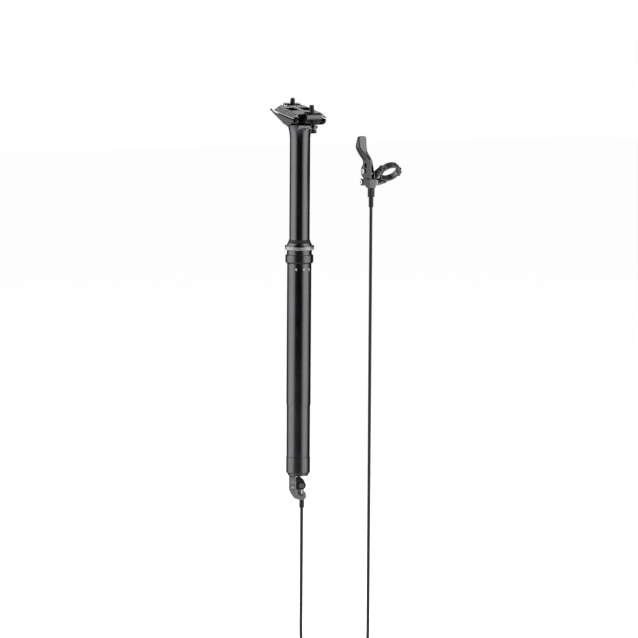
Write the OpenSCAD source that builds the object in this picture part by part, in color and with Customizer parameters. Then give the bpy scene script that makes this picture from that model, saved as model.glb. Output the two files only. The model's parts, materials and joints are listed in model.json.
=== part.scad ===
// Dropper seatpost with its bar remote and the cable between them.
// Z runs up the post axis, X points forward on the bicycle and Y to its left.
// The origin lies on the post axis, at the underside of the seal head's collar.

/* [Outer tubes] */
// Diameter of the outer tube that the frame clamps
tube_d = 30.9; // [30:0.1:34.9]
// Bore of the outer tube and of the lower sleeve
tube_bore = 27.4; // [27.2:0.1:28]
// Length of the outer tube below the collar
tube_len = 180.6; // [150:0.2:220]
// Diameter of the lower sleeve
sleeve_d = 29.8; // [29.4:0.1:30.4]
// Length of the lower sleeve that shows
sleeve_len = 67.2; // [60:0.2:100]
// Diameter of the spigot that joins sleeve and outer tube
spigot_d = 28.6; // [28.4:0.1:29]
// Length of the joining spigots
spigot_len = 12; // [8:0.5:20]
// Diameter of the bottom cap
cap_d = 30.5; // [30:0.1:31]
// Height of the bottom cap's wide band
cap_h = 21.4; // [16:0.2:24]
// Diameter of the lip under the bottom cap
lip_d = 26.6; // [26:0.1:28]
// Height of that lip
lip_h = 2.8; // [2:0.2:6]

/* [Sliding tube] */
// Diameter of the sliding tube
stanchion_d = 26; // [25:0.1:26]
// Bore of the sliding tube
stanchion_bore = 22.4; // [21:0.1:23]
// Height above the collar where the sliding tube starts to flare
flare_z = 157; // [150:0.5:170]
// Height of the flare, up to the forged head
flare_h = 19; // [14:0.5:20]
// Diameter at the top of the flare
neck_top_d = 31.8; // [30:0.2:36]
// Length of the sliding tube inside the outer tube when it is out
overlap = 95; // [80:1:110]
// Travel of the sliding tube
travel = 125; // [75:5:125]
// Width of the three guide keys
key_w = 4; // [3:0.1:5]
// Length of the guide keys
key_len = 18; // [12:0.5:20]

/* [Seal head] */
// Diameter of the collar
collar_d = 35.7; // [34:0.1:38]
// Height of the collar
collar_h = 11.2; // [10:0.1:16]
// Diameter of the neck between collar and lock ring
collar_neck_d = 31.9; // [31:0.1:33]
// Height of that neck
collar_neck_h = 6.2; // [4:0.1:7]
// Diameter of the lock ring
ring_d = 37.4; // [36:0.1:40]
// Height of the lock ring's wide band
ring_h = 6; // [5:0.1:8]
// Diameter of the lock ring's upper lip
ring_lip_d = 32; // [31:0.1:33]
// Height of the lock ring's upper lip
ring_lip_h = 2.4; // [2:0.1:4]
// Height of the wiper's cone
wiper_h = 4.4; // [3:0.1:6]
// Length of the upper guide bush
bush_len = 36; // [20:1:40]

/* [Cartridge] */
// Diameter of the gas cartridge
cartridge_d = 20; // [18:0.1:20.5]
// Bore of the gas cartridge
cartridge_bore = 16; // [15:0.1:17]
// Length of the gas cartridge
cartridge_len = 202; // [195:1:204]
// Diameter of the cartridge rod
rod_d = 8; // [7:0.1:9]
// Height of the piston on the rod
piston_h = 12; // [8:0.5:14]
// Diameter of the valve rod
valve_d = 3.2; // [2.6:0.1:3.6]

/* [Saddle clamp] */
// Diameter of the saddle rails
rail_d = 7; // [6.6:0.1:7.4]
// Distance between the saddle rails
rail_span = 44; // [43:0.5:45]
// Height of the rail plane above the collar, on the post axis
rail_z = 188.6; // [187:0.2:192]
// Forward tilt of the clamp at rest
clamp_tilt = 12.7; // [8:0.1:14]
// Half width of the upper plate
plate_half_w = 26.5; // [26:0.5:28]
// Height of the upper plate's top above the rail plane
plate_top = 7.4; // [7:0.1:9]
// Rear end of the upper plate, from the clamp's origin
plate_rear = -21; // [-24:0.5:-20]
// Front end of the upper plate, from the clamp's origin
plate_front = 20; // [19:0.5:21]
// Rear tip of the lower cradle's wings
wing_rear = -29; // [-32:0.5:-27]
// Half width of the lower cradle
cradle_half_w = 27; // [26.5:0.5:29]
// Radius of the rocker under the cradle
rocker_r = 17.5; // [17:0.1:18]
// Width of the rocker
rocker_w = 25; // [20:0.5:26]
// Diameter of the barrel nuts
nut_d = 11; // [10:0.2:12]
// Length of the barrel nuts
nut_len = 23.4; // [20:0.2:26]
// Distance of each barrel nut from the rocker's centre
nut_reach = 22.4; // [22:0.1:24]
// Diameter of the clamp bolts
bolt_d = 5.8; // [5:0.1:6]
// Depth of the barrel nuts below the rocker's centre
nut_drop = 2.2; // [1:0.1:3]
// Length of the front bolt that stands above its nut's centre
front_stand = 15.7; // [10:0.1:18]
// Length of the rear bolt that stands above its nut's centre
rear_stand = 13.4; // [10:0.1:18]
// Rise of the rear ear above the front one
ear_rise = 7; // [4:0.5:8]
// Diameter of the bolt heads
bolt_head_d = 8.6; // [8:0.1:10]
// Lean of the front bolt, top towards the rear
front_lean = -6; // [-8:0.5:-4]
// Lean of the rear bolt, top towards the front
rear_lean = 9.5; // [8:0.5:11]

/* [Actuator] */
// Bearing of the cable side of the post, from the forward direction
cable_bearing = 53; // [40:1:70]
// Distance of the cable from the post axis
cable_x = 4.9; // [4.5:0.1:5.2]
// Depth below the post of the actuator's pivot
pivot_drop = 14.9; // [14.5:0.1:16]
// Distance of the actuator's pivot from the post axis
pivot_x = -6.6; // [-7:0.1:-6.2]
// Depth below the post of the cable anchor
anchor_drop = 13; // [12.5:0.1:13.5]
// Diameter of the cable anchor
anchor_d = 6.4; // [6:0.1:6.8]
// Depth below the post of the valve rod's cross pin
cross_drop = 7; // [6.6:0.1:7.4]
// Width of the actuator bracket
bracket_w = 13; // [12:0.5:16]
// Width of the actuator lever
lever_w = 8; // [7:0.2:8.4]
// Height of the actuator bracket
bracket_h = 31; // [30:0.5:34]

/* [Remote] */
// Distance of the remote's cable line from the post axis
remote_x = 90.8; // [80:0.2:110]
// Height of the remote above the collar
remote_z = 99.3; // [80:0.5:120]
// Turn of the remote about its cable line
remote_turn = 30; // [20:1:40]
// Width of the perch block and of the lever's fork
perch_w = 8.8; // [8:0.2:10]
// Width of the perch's tongue inside the fork
tongue_w = 2.6; // [2.2:0.2:3.6]
// Distance of the lever's pivot behind the cable line
lever_back = 11; // [10.5:0.1:12]
// Height of the lever's pivot above the remote's origin
lever_up = 18; // [17:0.2:19]
// Diameter of the lever's pivot bolt
lever_pivot_d = 5; // [4:0.1:5.4]
// Handlebar diameter
bar_d = 22.2; // [22.2:0.1:22.6]
// Wall of the handlebar clamp
band_wall = 2.4; // [2.2:0.1:3.4]
// Width of the handlebar clamp
band_w = 8.2; // [7:0.2:10]
// Distance of the handlebar's centre from the cable line
bar_x = 26.4; // [26:0.2:29]
// Height of the handlebar's centre above the remote's origin
bar_up = 17.6; // [16:0.2:19]
// Lean of the handlebar's axis from the vertical
bar_lean = 46; // [40:1:50]
// Diameter of the barrel adjuster
adjuster_d = 8.8; // [8:0.1:9.4]
// Length of the barrel adjuster's knurled part
adjuster_len = 11.4; // [9:0.2:13]
// Height of the thumb paddle's top above the remote's origin
paddle_top = 63; // [60:0.5:66]

/* [Cable] */
// Diameter of the cable housing
housing_d = 4; // [3.8:0.1:4.1]
// Diameter of the inner wire
wire_d = 1.5; // [1.1:0.1:1.6]
// Number of turns in the stored coil
coil_turns = 5.5; // [3.5:1:6.5]
// Step from one turn of the coil to the next
coil_step = 4.5; // [4.5:0.1:4.8]
// Radius of the coil's inmost turn
coil_inner_r = 16.1; // [16:0.1:18]
// Distance between the coil's two layers
coil_layer = 4.6; // [4.6:0.1:5]

/* [Hidden] */
$fn = 64;
hull_fn = 28;
// Clearances: between fixed pieces, round pins, along the sliding tube, and beside moving levers
fit = 0.03;
pin_gap = 0.05;
slide_gap = 0.04;
side_gap = 0.3;
// Cuts run past the faces that they open by this much
over = 1;

tube_r = tube_d / 2;
bore_r = tube_bore / 2;
stanchion_r = stanchion_d / 2;
sleeve_top = -tube_len;
cap_top = sleeve_top - sleeve_len;
lip_top = cap_top - cap_h;
post_bottom = lip_top - lip_h;
tube_top = collar_h - 2;
thread_r = tube_r - 0.6;
ring_bottom = collar_h + collar_neck_h;
ring_top = ring_bottom + ring_h;
ring_lip_top = ring_top + ring_lip_h;
ring_bore_r = collar_neck_d / 2 - 1;
wiper_seat = ring_bottom + ring_h - 2;
wiper_outer_r = ring_bore_r - 0.2;
stanchion_foot = -overlap;
stanchion_roof = flare_z - 8;

key_z = stanchion_foot + 26;
key_out_r = bore_r + 0.45;
key_in_r = stanchion_r - 0.7;
key_gap = 0.1;
key_room = 3;
keyway_r = key_out_r + key_gap;
key_angles = [0, 120, 240];

cap_floor = lip_top + 5;
cap_wall = 2.2;
foot_r = 6;
cartridge_top = cap_floor + cartridge_len;
gland_h = 14;
piston_z = cartridge_top - gland_h - piston_h - 11;
rod_nut_h = 5;
rod_end_d = 6;
rod_step_z = stanchion_roof + 5;

// Rocker centre and the clamp's frame, in the plane of the post
rocker_u = 3;
rocker_w_up = 6.2;
rocker_x = rocker_u * cos(clamp_tilt) + rocker_w_up * sin(clamp_tilt);
rocker_z = rail_z - rocker_u * sin(clamp_tilt) + rocker_w_up * cos(clamp_tilt);
front_nut_u = rocker_u + nut_reach;
rear_nut_u = rocker_u - nut_reach;
nut_w = rocker_w_up - nut_drop;
front_nut_x = front_nut_u * cos(clamp_tilt) + nut_w * sin(clamp_tilt);
front_nut_z = rail_z - front_nut_u * sin(clamp_tilt) + nut_w * cos(clamp_tilt);
rear_nut_x = rear_nut_u * cos(clamp_tilt) + nut_w * sin(clamp_tilt);
rear_nut_z = rail_z - rear_nut_u * sin(clamp_tilt) + nut_w * cos(clamp_tilt);
rail_r = rail_d / 2 + 0.05;
split = 0.6;
seat_gap = 0.3;
head_rim = rocker_z - rocker_r + 2;
ear_top = rocker_z - rocker_r;
ear_h = 3.4;
ear_z = ear_top - ear_h;
ear_r = 6;
ear_root_drop = 4.6;
front_seat_z = ear_z + ear_h / 2;
rear_seat_z = front_seat_z + ear_rise;
front_ear_x = front_nut_x - (front_nut_z - front_seat_z) * tan(front_lean);
rear_ear_x = rear_nut_x - (rear_nut_z - rear_seat_z) * tan(rear_lean);
bolt_head_h = 4.4;
washer_h = 1.2;
bolt_bore = bolt_d + 0.8;

// Actuator levels, below the post
pivot_z = post_bottom - pivot_drop;
anchor_z = post_bottom - anchor_drop;
cross_z = post_bottom - cross_drop;
bracket_bottom = post_bottom - bracket_h;
cheek_slot = lever_w + 2 * side_gap;
pin_d = 3;
tang_pin_z = pivot_z + 6.4;
hub_r = 3.6;
lower_ferrule_d = 4.8;
lower_crimp_d = 6.2;
lower_ferrule_in = 4;
lower_ferrule_end = bracket_bottom - 11;
cross_pin_d = 2;
wire_hole = wire_d + 0.9;

// Remote levels, in the remote's frame
perch_bottom = -2.5;
perch_top = 8.4;
perch_front = -4;
perch_back = 20;
perch_bolt_y = 16;
perch_bolt_z = 4.4;
fork_gap = tongue_w + 2 * side_gap;
fork_bottom_r = lever_up - perch_top - 0.4;
fork_top = 27;
tongue_r = 6;
head_y = 0;
head_z = lever_up - 2.3;
cable_head_d = 4.5;
lever_half = perch_w / 2 - 0.4;
head_pocket = lever_half - 0.9;
adjuster_bottom = perch_bottom - 0.1 - adjuster_len;
adjuster_thread_d = 5;
remote_ferrule_d = 6;
remote_ferrule_in = 6;
remote_ferrule_end = adjuster_bottom - 13;
band_r = bar_d / 2 + band_wall;
bar_r = bar_d / 2 + 0.05;
lug_h = 4.4;
knuckle_r = 2.2;
knuckle_h = band_w / 3 - 0.15;
knuckle_link = 3.4;
hinge_turn = 205;
hinge_r = band_r + 0.9;
clamp_bolt_d = 3;
clamp_bolt_x = bar_r + clamp_bolt_d / 2 + 0.7;
clamp_head_r = 2.4;
clamp_head_y = -3.2;
lug_end = clamp_bolt_x + clamp_head_r + 0.2;
clamp_hinge_d = 2;
arm_x = perch_w / 2 + fit;

// Cable route in the cable's own plane: X away from the post, Y through the plane, Z up
coil_centre = [47.9, -545];
coil_outer_r = coil_inner_r + coil_step * coil_turns / 2;
coil_left = coil_centre[0] - coil_outer_r;
coil_right = coil_centre[0] + coil_outer_r;
coil_end_z = coil_centre[1] + housing_d;
post_route = [
    [cable_x, 0, lower_ferrule_end],
    [cable_x, 0, lower_ferrule_end - 12],
    [4.9, 0, -360],
    [4.9, 0, -400],
    [4.9, 0, -440],
    [4.9, 0, -470],
    [5.4, -0.1, -484],
    [7.4, -0.5, -497],
    [10.6, -1.0, -507.5],
    [14.4, -1.6, -518],
    [17.6, -2.1, -526.5],
    [coil_left, -coil_layer / 2, coil_end_z + 2 * housing_d],
    [coil_left, -coil_layer / 2, coil_end_z + housing_d],
    [coil_left, -coil_layer / 2, coil_end_z]
];
remote_route = [
    [coil_right, coil_layer / 2, coil_end_z],
    [coil_right, coil_layer / 2, coil_end_z + housing_d],
    [coil_right, coil_layer / 2, coil_end_z + 2 * housing_d],
    [78.2, 2.1, -526.5],
    [81.4, 1.6, -518],
    [85.2, 1.0, -507.5],
    [88.3, 0.5, -497],
    [90.3, 0.1, -484],
    [90.8, 0, -470],
    [90.8, 0, -420],
    [90.8, 0, -340],
    [90.8, 0, -260],
    [90.8, 0, -180],
    [90.8, 0, -100],
    [90.8, 0, -20],
    [remote_x, 0, remote_z + remote_ferrule_end - 20],
    [remote_x, 0, remote_z + remote_ferrule_end]
];

// Helpers

// A ring between two radii and two heights
module ring(r_in, r_out, z0, z1) {
    translate([0, 0, z0]) difference() {
        cylinder(r = r_out, h = z1 - z0);
        translate([0, 0, -over]) cylinder(r = r_in, h = z1 - z0 + 2 * over);
    }
}

// A round bar along Y, centred on the plane of the post
module cross_bar(r, length) {
    rotate([90, 0, 0]) cylinder(r = r, h = length, center = true);
}

// A round bar along X between two places
module bar_along_x(r, x0, x1) {
    translate([x0, 0, 0]) rotate([0, 90, 0]) cylinder(r = r, h = x1 - x0);
}

// An outline in X and Z, given a width along Y
module slab_y(w) {
    rotate([90, 0, 0]) linear_extrude(height = w, center = true) children();
}

// An outline in Y and Z, given a width along X
module slab_x(w) {
    rotate([90, 0, 90]) linear_extrude(height = w, center = true) children();
}

module clamp_frame() {
    translate([0, 0, rail_z]) rotate([0, clamp_tilt, 0]) children();
}

module cable_frame() {
    rotate([0, 0, cable_bearing]) children();
}

module remote_frame() {
    cable_frame() translate([remote_x, 0, remote_z]) rotate([0, 0, remote_turn]) children();
}

module bar_frame() {
    remote_frame() translate([bar_x, 0, bar_up]) rotate([-bar_lean, 0, 0]) children();
}

module front_bolt_frame() {
    translate([front_nut_x, 0, front_nut_z]) rotate([0, front_lean, 0]) children();
}

module rear_bolt_frame() {
    translate([rear_nut_x, 0, rear_nut_z]) rotate([0, rear_lean, 0]) children();
}

// Outer tubes

module keyways(z0, z1, r) {
    for (a = key_angles) rotate([0, 0, a]) translate([0, -key_w / 2 - key_gap, z0])
        cube([r, key_w + 2 * key_gap, z1 - z0]);
}

module outer_tube() {
    color("#1b1c1e") difference() {
        union() {
            translate([0, 0, sleeve_top]) cylinder(r = tube_r, h = tube_len);
            translate([0, 0, -over]) cylinder(r = thread_r, h = tube_top + over);
        }
        translate([0, 0, sleeve_top - over]) cylinder(r = bore_r, h = tube_top - sleeve_top + 2 * over);
        translate([0, 0, sleeve_top - over]) cylinder(d = spigot_d, h = spigot_len + over);
        keyways(sleeve_top - over, key_z + key_len + 8, keyway_r);
    }
}

module lower_sleeve() {
    color("#1b1c1e") difference() {
        union() {
            translate([0, 0, cap_top]) cylinder(d = sleeve_d, h = sleeve_len);
            translate([0, 0, sleeve_top - over])
                cylinder(d = spigot_d - 2 * fit, h = spigot_len + over - 0.1);
        }
        translate([0, 0, cap_top - over]) cylinder(r = bore_r, h = sleeve_len + spigot_len + 2 * over);
        keyways(key_z - travel - key_room, sleeve_top, keyway_r);
        keyways(sleeve_top, sleeve_top + spigot_len + over, spigot_d);
    }
}

module seal_head() {
    collar_r = collar_d / 2;
    neck_r = collar_neck_d / 2;
    color("#151618") rotate_extrude() polygon([
        [thread_r + fit, fit],
        [tube_r + 0.45, fit],
        [collar_r, 1.9],
        [collar_r, collar_h - 0.7],
        [collar_r - 0.7, collar_h],
        [neck_r, collar_h],
        [neck_r, ring_bottom],
        [ring_bore_r - fit, ring_bottom],
        [ring_bore_r - fit, wiper_seat - 0.1],
        [bore_r, wiper_seat - 0.1],
        [bore_r, tube_top + fit],
        [thread_r + fit, tube_top + fit]
    ]);
}

module lock_ring() {
    outer_r = ring_d / 2;
    lip_r = ring_lip_d / 2;
    edge = 0.5;
    color("#b9bbbd") rotate_extrude() polygon([
        [ring_bore_r, ring_bottom],
        [outer_r - edge, ring_bottom],
        [outer_r, ring_bottom + edge],
        [outer_r, ring_top - edge],
        [outer_r - edge, ring_top],
        [lip_r, ring_top],
        [lip_r, ring_top + 1],
        [ring_bore_r + 0.3, ring_lip_top],
        [ring_bore_r, ring_lip_top]
    ]);
}

module wiper_seal() {
    inner_r = stanchion_r + slide_gap;
    color("#101011") rotate_extrude() polygon([
        [inner_r, wiper_seat],
        [wiper_outer_r, wiper_seat],
        [wiper_outer_r, ring_lip_top + fit],
        [ring_bore_r + 0.1, ring_lip_top + fit],
        [stanchion_r + 0.35, ring_lip_top + wiper_h],
        [inner_r, ring_lip_top + wiper_h]
    ]);
}

module upper_bush() {
    color("#d8cfa8") ring(stanchion_r + slide_gap, bore_r - fit, tube_top - bush_len, tube_top);
}

module bottom_cap() {
    outer_r = cap_d / 2;
    spigot_r = bore_r - fit;
    inner_r = spigot_r - cap_wall;
    edge = 1.4;
    tang_x = -10.4;
    tang_w = 6;
    tang_low = tang_pin_z - 2.4;
    tang_sink = 0.3;
    color("#151618") difference() {
        union() {
            rotate_extrude() polygon([
                [foot_r + fit, post_bottom],
                [lip_d / 2 - 0.8, post_bottom],
                [lip_d / 2, post_bottom + 0.8],
                [lip_d / 2, lip_top],
                [outer_r - edge, lip_top],
                [outer_r, lip_top + edge],
                [outer_r, cap_top - 0.5],
                [outer_r - 0.5, cap_top],
                [spigot_r, cap_top],
                [spigot_r, cap_top + spigot_len - 2],
                [inner_r, cap_top + spigot_len - 2],
                [inner_r, cap_floor],
                [foot_r + fit, cap_floor]
            ]);
            cable_frame() translate([tang_x, -cheek_slot / 2 + fit, tang_low])
                cube([tang_w, cheek_slot - 2 * fit, post_bottom - tang_low + tang_sink]);
        }
        cable_frame() translate([pivot_x, 0, tang_pin_z]) cross_bar(pin_d / 2, bracket_w);
    }
}

// Gas cartridge

module cartridge_body() {
    floor_h = 8;
    color("#8f9499") difference() {
        union() {
            translate([0, 0, cap_floor]) cylinder(d = cartridge_d, h = cartridge_len);
            translate([0, 0, post_bottom + 0.4]) cylinder(r = foot_r, h = cap_floor - post_bottom);
        }
        translate([0, 0, cap_floor + floor_h]) cylinder(d = cartridge_bore, h = cartridge_len);
        translate([0, 0, post_bottom])
            cylinder(d = valve_d + 2 * pin_gap, h = cap_floor - post_bottom + floor_h + over);
    }
}

module cartridge_gland() {
    flange_h = 3;
    color("#5f6468") difference() {
        union() {
            translate([0, 0, cartridge_top - gland_h])
                cylinder(d = cartridge_bore - 2 * fit, h = gland_h + over);
            translate([0, 0, cartridge_top]) cylinder(d = cartridge_d, h = flange_h);
        }
        translate([0, 0, cartridge_top - gland_h - over])
            cylinder(d = rod_d + 2 * slide_gap, h = gland_h + flange_h + 2 * over);
    }
}

module cartridge_rod() {
    rod_top = rod_step_z + rod_nut_h + 1;
    color("#c9ccce") union() {
        translate([0, 0, piston_z]) cylinder(d = rod_d, h = rod_step_z - piston_z);
        translate([0, 0, rod_step_z - over]) cylinder(d = rod_end_d, h = rod_top - rod_step_z + over);
    }
}

module cartridge_piston() {
    color("#6d7175") ring(rod_d / 2 + fit, cartridge_bore / 2 - slide_gap, piston_z, piston_z + piston_h);
}

module rod_nut() {
    color("#c9ccce") translate([0, 0, rod_step_z]) difference() {
        cylinder(d = 11.5, h = rod_nut_h, $fn = 6);
        translate([0, 0, -over]) cylinder(d = rod_end_d + 2 * fit, h = rod_nut_h + 2 * over);
    }
}

module valve_rod() {
    valve_top = cap_floor + 9;
    color("#d6d8da") union() {
        translate([0, 0, cross_z - 1.8]) cylinder(d = valve_d, h = valve_top - cross_z + 1.8);
        cable_frame() translate([0, 0, cross_z]) cross_bar(cross_pin_d / 2, lever_w);
    }
}

// Sliding tube and its forged head

// A forged ear that carries one clamp bolt: deep at the neck and thin at its round tip
module ear(tip_x, rise) {
    side = tip_x > 0 ? 1 : -1;
    top = ear_top + rise;
    low = ear_z + rise;
    root_drop = ear_root_drop + rise / 2;
    fan = acos((stanchion_r - ear_r) / abs(tip_x));
    touch_x = side * cos(fan);
    touch_y = sin(fan);
    tip_end = tip_x + side * (ear_r + over);
    root_x = side * (stanchion_r + rise) / 2;
    arch_end = tip_x - side * ear_r;
    steps = 10;
    arch = [for (i = [0:steps]) let (t = i / steps)
        [arch_end + (root_x - arch_end) * t, low - root_drop * t * t]];
    intersection() {
        union() {
            linear_extrude(height = top) polygon([
                [stanchion_r * touch_x, -stanchion_r * touch_y],
                [tip_x + ear_r * touch_x, -ear_r * touch_y],
                [tip_x + ear_r * touch_x, ear_r * touch_y],
                [stanchion_r * touch_x, stanchion_r * touch_y]
            ]);
            translate([tip_x, 0, 0]) cylinder(r = ear_r, h = top);
        }
        slab_y(neck_top_d) polygon(concat(
            [[0, top + over], [tip_end, top + over], [tip_end, low]],
            arch,
            [[0, low - root_drop]]
        ));
    }
}

module stanchion() {
    steps = 14;
    flare = [for (i = [1:steps]) let (t = i / steps)
        [stanchion_r + (neck_top_d / 2 - stanchion_r) * t * t, flare_z + flare_h * t]];
    color("#232426") difference() {
        union() {
            rotate_extrude() polygon(concat(
                [[0, stanchion_foot], [stanchion_r, stanchion_foot], [stanchion_r, flare_z]],
                flare,
                [[neck_top_d / 2, head_rim - 0.8], [neck_top_d / 2 - 0.8, head_rim], [0, head_rim]]
            ));
            ear(front_ear_x, 0);
            ear(rear_ear_x, ear_rise);
        }
        translate([0, 0, stanchion_foot - over])
            cylinder(d = stanchion_bore, h = stanchion_roof - stanchion_foot + over);
        translate([0, 0, stanchion_roof - over])
            cylinder(d = rod_d + 2 * fit, h = rod_step_z - stanchion_roof + over);
        translate([0, 0, rod_step_z - over]) cylinder(d = rod_end_d + 2 * fit, h = 2 * over);
        translate([0, 0, rod_step_z]) cylinder(d = 13.6, h = head_rim - rod_step_z + over);
        translate([rocker_x, 0, rocker_z]) cross_bar(rocker_r + seat_gap, neck_top_d + 4);
        front_bolt_frame() translate([0, 0, -40]) cylinder(d = bolt_bore, h = 40);
        rear_bolt_frame() translate([0, 0, -40]) cylinder(d = bolt_bore, h = 40);
        for (a = key_angles) rotate([0, 0, a]) translate([key_in_r, -key_w / 2, key_z])
            cube([stanchion_r, key_w, key_len]);
    }
}

module guide_keys() {
    color("#c9a24a") for (a = key_angles) rotate([0, 0, a])
        translate([key_in_r + fit, -key_w / 2 + fit, key_z + fit])
            cube([key_out_r - key_in_r, key_w - 2 * fit, key_len - 2 * fit]);
}

module lower_bush() {
    color("#d8cfa8") ring(stanchion_r + fit, bore_r - slide_gap, stanchion_foot, key_z - 2);
}

// Saddle clamp

module rails_cut() {
    for (side = [-1, 1]) translate([0, side * rail_span / 2, 0])
        rotate([0, 90, 0]) cylinder(r = rail_r, h = 200, center = true);
}

module lower_cradle() {
    lip_front = 20;
    keel = -10;
    tip_up = 1.8;
    inner_half = rail_span / 2 - 5.4;
    wing_w = cradle_half_w - inner_half;
    color("#2a2b2d") clamp_frame() difference() {
        union() {
            for (side = [-1, 1]) translate([0, side * (inner_half + wing_w / 2), 0]) slab_y(wing_w) polygon([
                [plate_rear - over, -split],
                [wing_rear + 1.2, tip_up],
                [wing_rear + 0.3, tip_up - 0.1],
                [wing_rear, tip_up - 0.8],
                [wing_rear + 0.8, tip_up - 1.7],
                [plate_rear - 2.4, -1.4],
                [-16, -3.9],
                [-5, -7],
                [4, keel],
                [11, keel],
                [15, keel + 1.4],
                [lip_front - 1, -5.6],
                [lip_front, -3],
                [lip_front, -split]
            ]);
            translate([rocker_u - 8, -inner_half - over, -6])
                cube([16, 2 * inner_half + 2 * over, 6 - split]);
            intersection() {
                translate([rocker_u, 0, rocker_w_up]) cross_bar(rocker_r, rocker_w);
                translate([rocker_u - 9.5, -rocker_w, -30]) cube([19, 2 * rocker_w, 30 - split]);
            }
        }
        rails_cut();
        translate([rocker_u - 5, -7, -5]) cube([10, 14, 10]);
    }
}

module top_clamp() {
    shoulder = 19.6;
    web = 3;
    edge_h = 2.2;
    slope = (plate_top - edge_h) / (plate_half_w - shoulder);
    window_front = 3.6;
    window_rear = -12;
    window_in = 3.2;
    window_out = 18.6;
    notch_r = 6;
    notch_u = 16.6;
    seat_half = 11.4;
    seat_half_u = 3;
    seat_floor = nut_w - nut_d / 2 - 1.8;
    seat_top = nut_w;
    front_tongue = rocker_u + 10.2;
    hook_r = nut_d / 2 + 2;
    hook_half = nut_len / 2 + 1.8;
    ramp_h = 1.7;
    groove_w = 0.8;
    groove_h = 0.6;
    ticks = 5;
    tick_step = 3.2;
    color("#77797b") clamp_frame() difference() {
        union() {
            rotate([90, 0, 90]) translate([0, 0, plate_rear])
                linear_extrude(height = plate_front - plate_rear) polygon([
                [-plate_half_w, 0.9],
                [-plate_half_w, edge_h],
                [-shoulder, plate_top],
                [shoulder, plate_top],
                [plate_half_w, edge_h],
                [plate_half_w, 0.9],
                [rail_span / 2 - 4.8, 0.9],
                [rail_span / 2 - 6.2, web],
                [-rail_span / 2 + 6.2, web],
                [-rail_span / 2 + 4.8, 0.9]
            ]);
            translate([front_tongue, -seat_half, seat_floor])
                cube([front_nut_u + seat_half_u - front_tongue, 2 * seat_half, seat_top - seat_floor]);
            translate([rear_nut_u - seat_half_u, -seat_half, seat_floor])
                cube([window_rear - over - rear_nut_u + seat_half_u, 2 * seat_half, seat_top - seat_floor]);
            slab_y(2 * hook_half) polygon([
                [rear_nut_u, plate_top - ramp_h],
                [rear_nut_u, plate_top + ramp_h],
                [rear_nut_u + nut_d / 2 + 1, plate_top + ramp_h],
                [window_rear - over, plate_top],
                [window_rear - over, plate_top - ramp_h]
            ]);
            intersection() {
                translate([rear_nut_u, 0, nut_w]) cross_bar(hook_r, 2 * hook_half);
                translate([rear_nut_u - 2 * hook_r, -hook_half, seat_floor])
                    cube([2 * hook_r - 1.4, 2 * hook_half, 2 * hook_r + nut_d]);
            }
        }
        rails_cut();
        for (side = [-1, 1]) {
            translate([window_rear, side > 0 ? window_in : -window_out, -over])
                cube([window_front - window_rear, window_out - window_in, plate_top + 2 * over]);
            for (v = [1.5, 3.3, 5.1])
                translate([
                    plate_rear - over,
                    side * (shoulder + v) - groove_w / 2,
                    plate_top - v * slope - groove_h
                ]) cube([plate_front - plate_rear + 2 * over, groove_w, 4]);
        }
        for (i = [0:ticks - 1])
            translate([window_rear + 1.4 + i * tick_step, -window_in - over, plate_top - groove_h])
                cube([groove_w, window_in + over - 0.6, 4]);
        translate([notch_u, 0, seat_top]) cylinder(r = notch_r, h = 12);
        translate([notch_u, -notch_r, seat_top]) cube([60, 2 * notch_r, 12]);
        translate([front_nut_u, 0, nut_w]) cross_bar(nut_d / 2 + pin_gap, nut_len + 0.8);
        translate([rear_nut_u, 0, nut_w]) cross_bar(nut_d / 2 + pin_gap, nut_len + 0.8);
        translate([rear_nut_u + nut_d / 4, 0, nut_w + 6])
            cube([nut_d / 2 + 0.4, nut_len + 0.8, 12], center = true);
        for (u = [front_nut_u, rear_nut_u])
            translate([u - 6, -bolt_bore / 2 - 0.6, -20]) cube([12, bolt_bore + 1.2, 40]);
    }
}

module barrel_nut() {
    difference() {
        cross_bar(nut_d / 2, nut_len);
        cylinder(d = bolt_d + 0.8, h = 2 * nut_d, center = true);
    }
}

module front_nut() {
    color("#55575a") front_bolt_frame() barrel_nut();
}

module rear_nut() {
    color("#55575a") rear_bolt_frame() barrel_nut();
}

// A clamp bolt in its own frame, with its head under the head's ear
module clamp_stud(grip, stand) {
    socket_d = 4.6;
    difference() {
        union() {
            translate([0, 0, -grip]) cylinder(d = bolt_d, h = grip + stand);
            translate([0, 0, -grip - bolt_head_h]) cylinder(d = bolt_head_d, h = bolt_head_h);
        }
        translate([0, 0, -grip - bolt_head_h - over]) cylinder(d = socket_d, h = over + 2.6, $fn = 6);
    }
}

front_grip = (front_nut_z - ear_z) / cos(front_lean) + washer_h + 0.85;
rear_grip = (rear_nut_z - ear_z - ear_rise) / cos(rear_lean) + washer_h + 0.9;

module front_bolt() {
    color("#1d1e20") front_bolt_frame() clamp_stud(front_grip, front_stand);
}

module rear_bolt() {
    color("#1d1e20") rear_bolt_frame() clamp_stud(rear_grip, rear_stand);
}

module bolt_washers() {
    washer_r = bolt_head_d / 2 + 0.6;
    color("#8d9093") for (place = [[front_ear_x, 0], [rear_ear_x, ear_rise]])
        translate([place[0], 0, ear_z + place[1] - washer_h]) difference() {
            cylinder(r = washer_r, h = washer_h);
            translate([0, 0, -over]) cylinder(d = bolt_bore + 0.6, h = washer_h + 2 * over);
        }
}

// Cable actuator under the post

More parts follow.
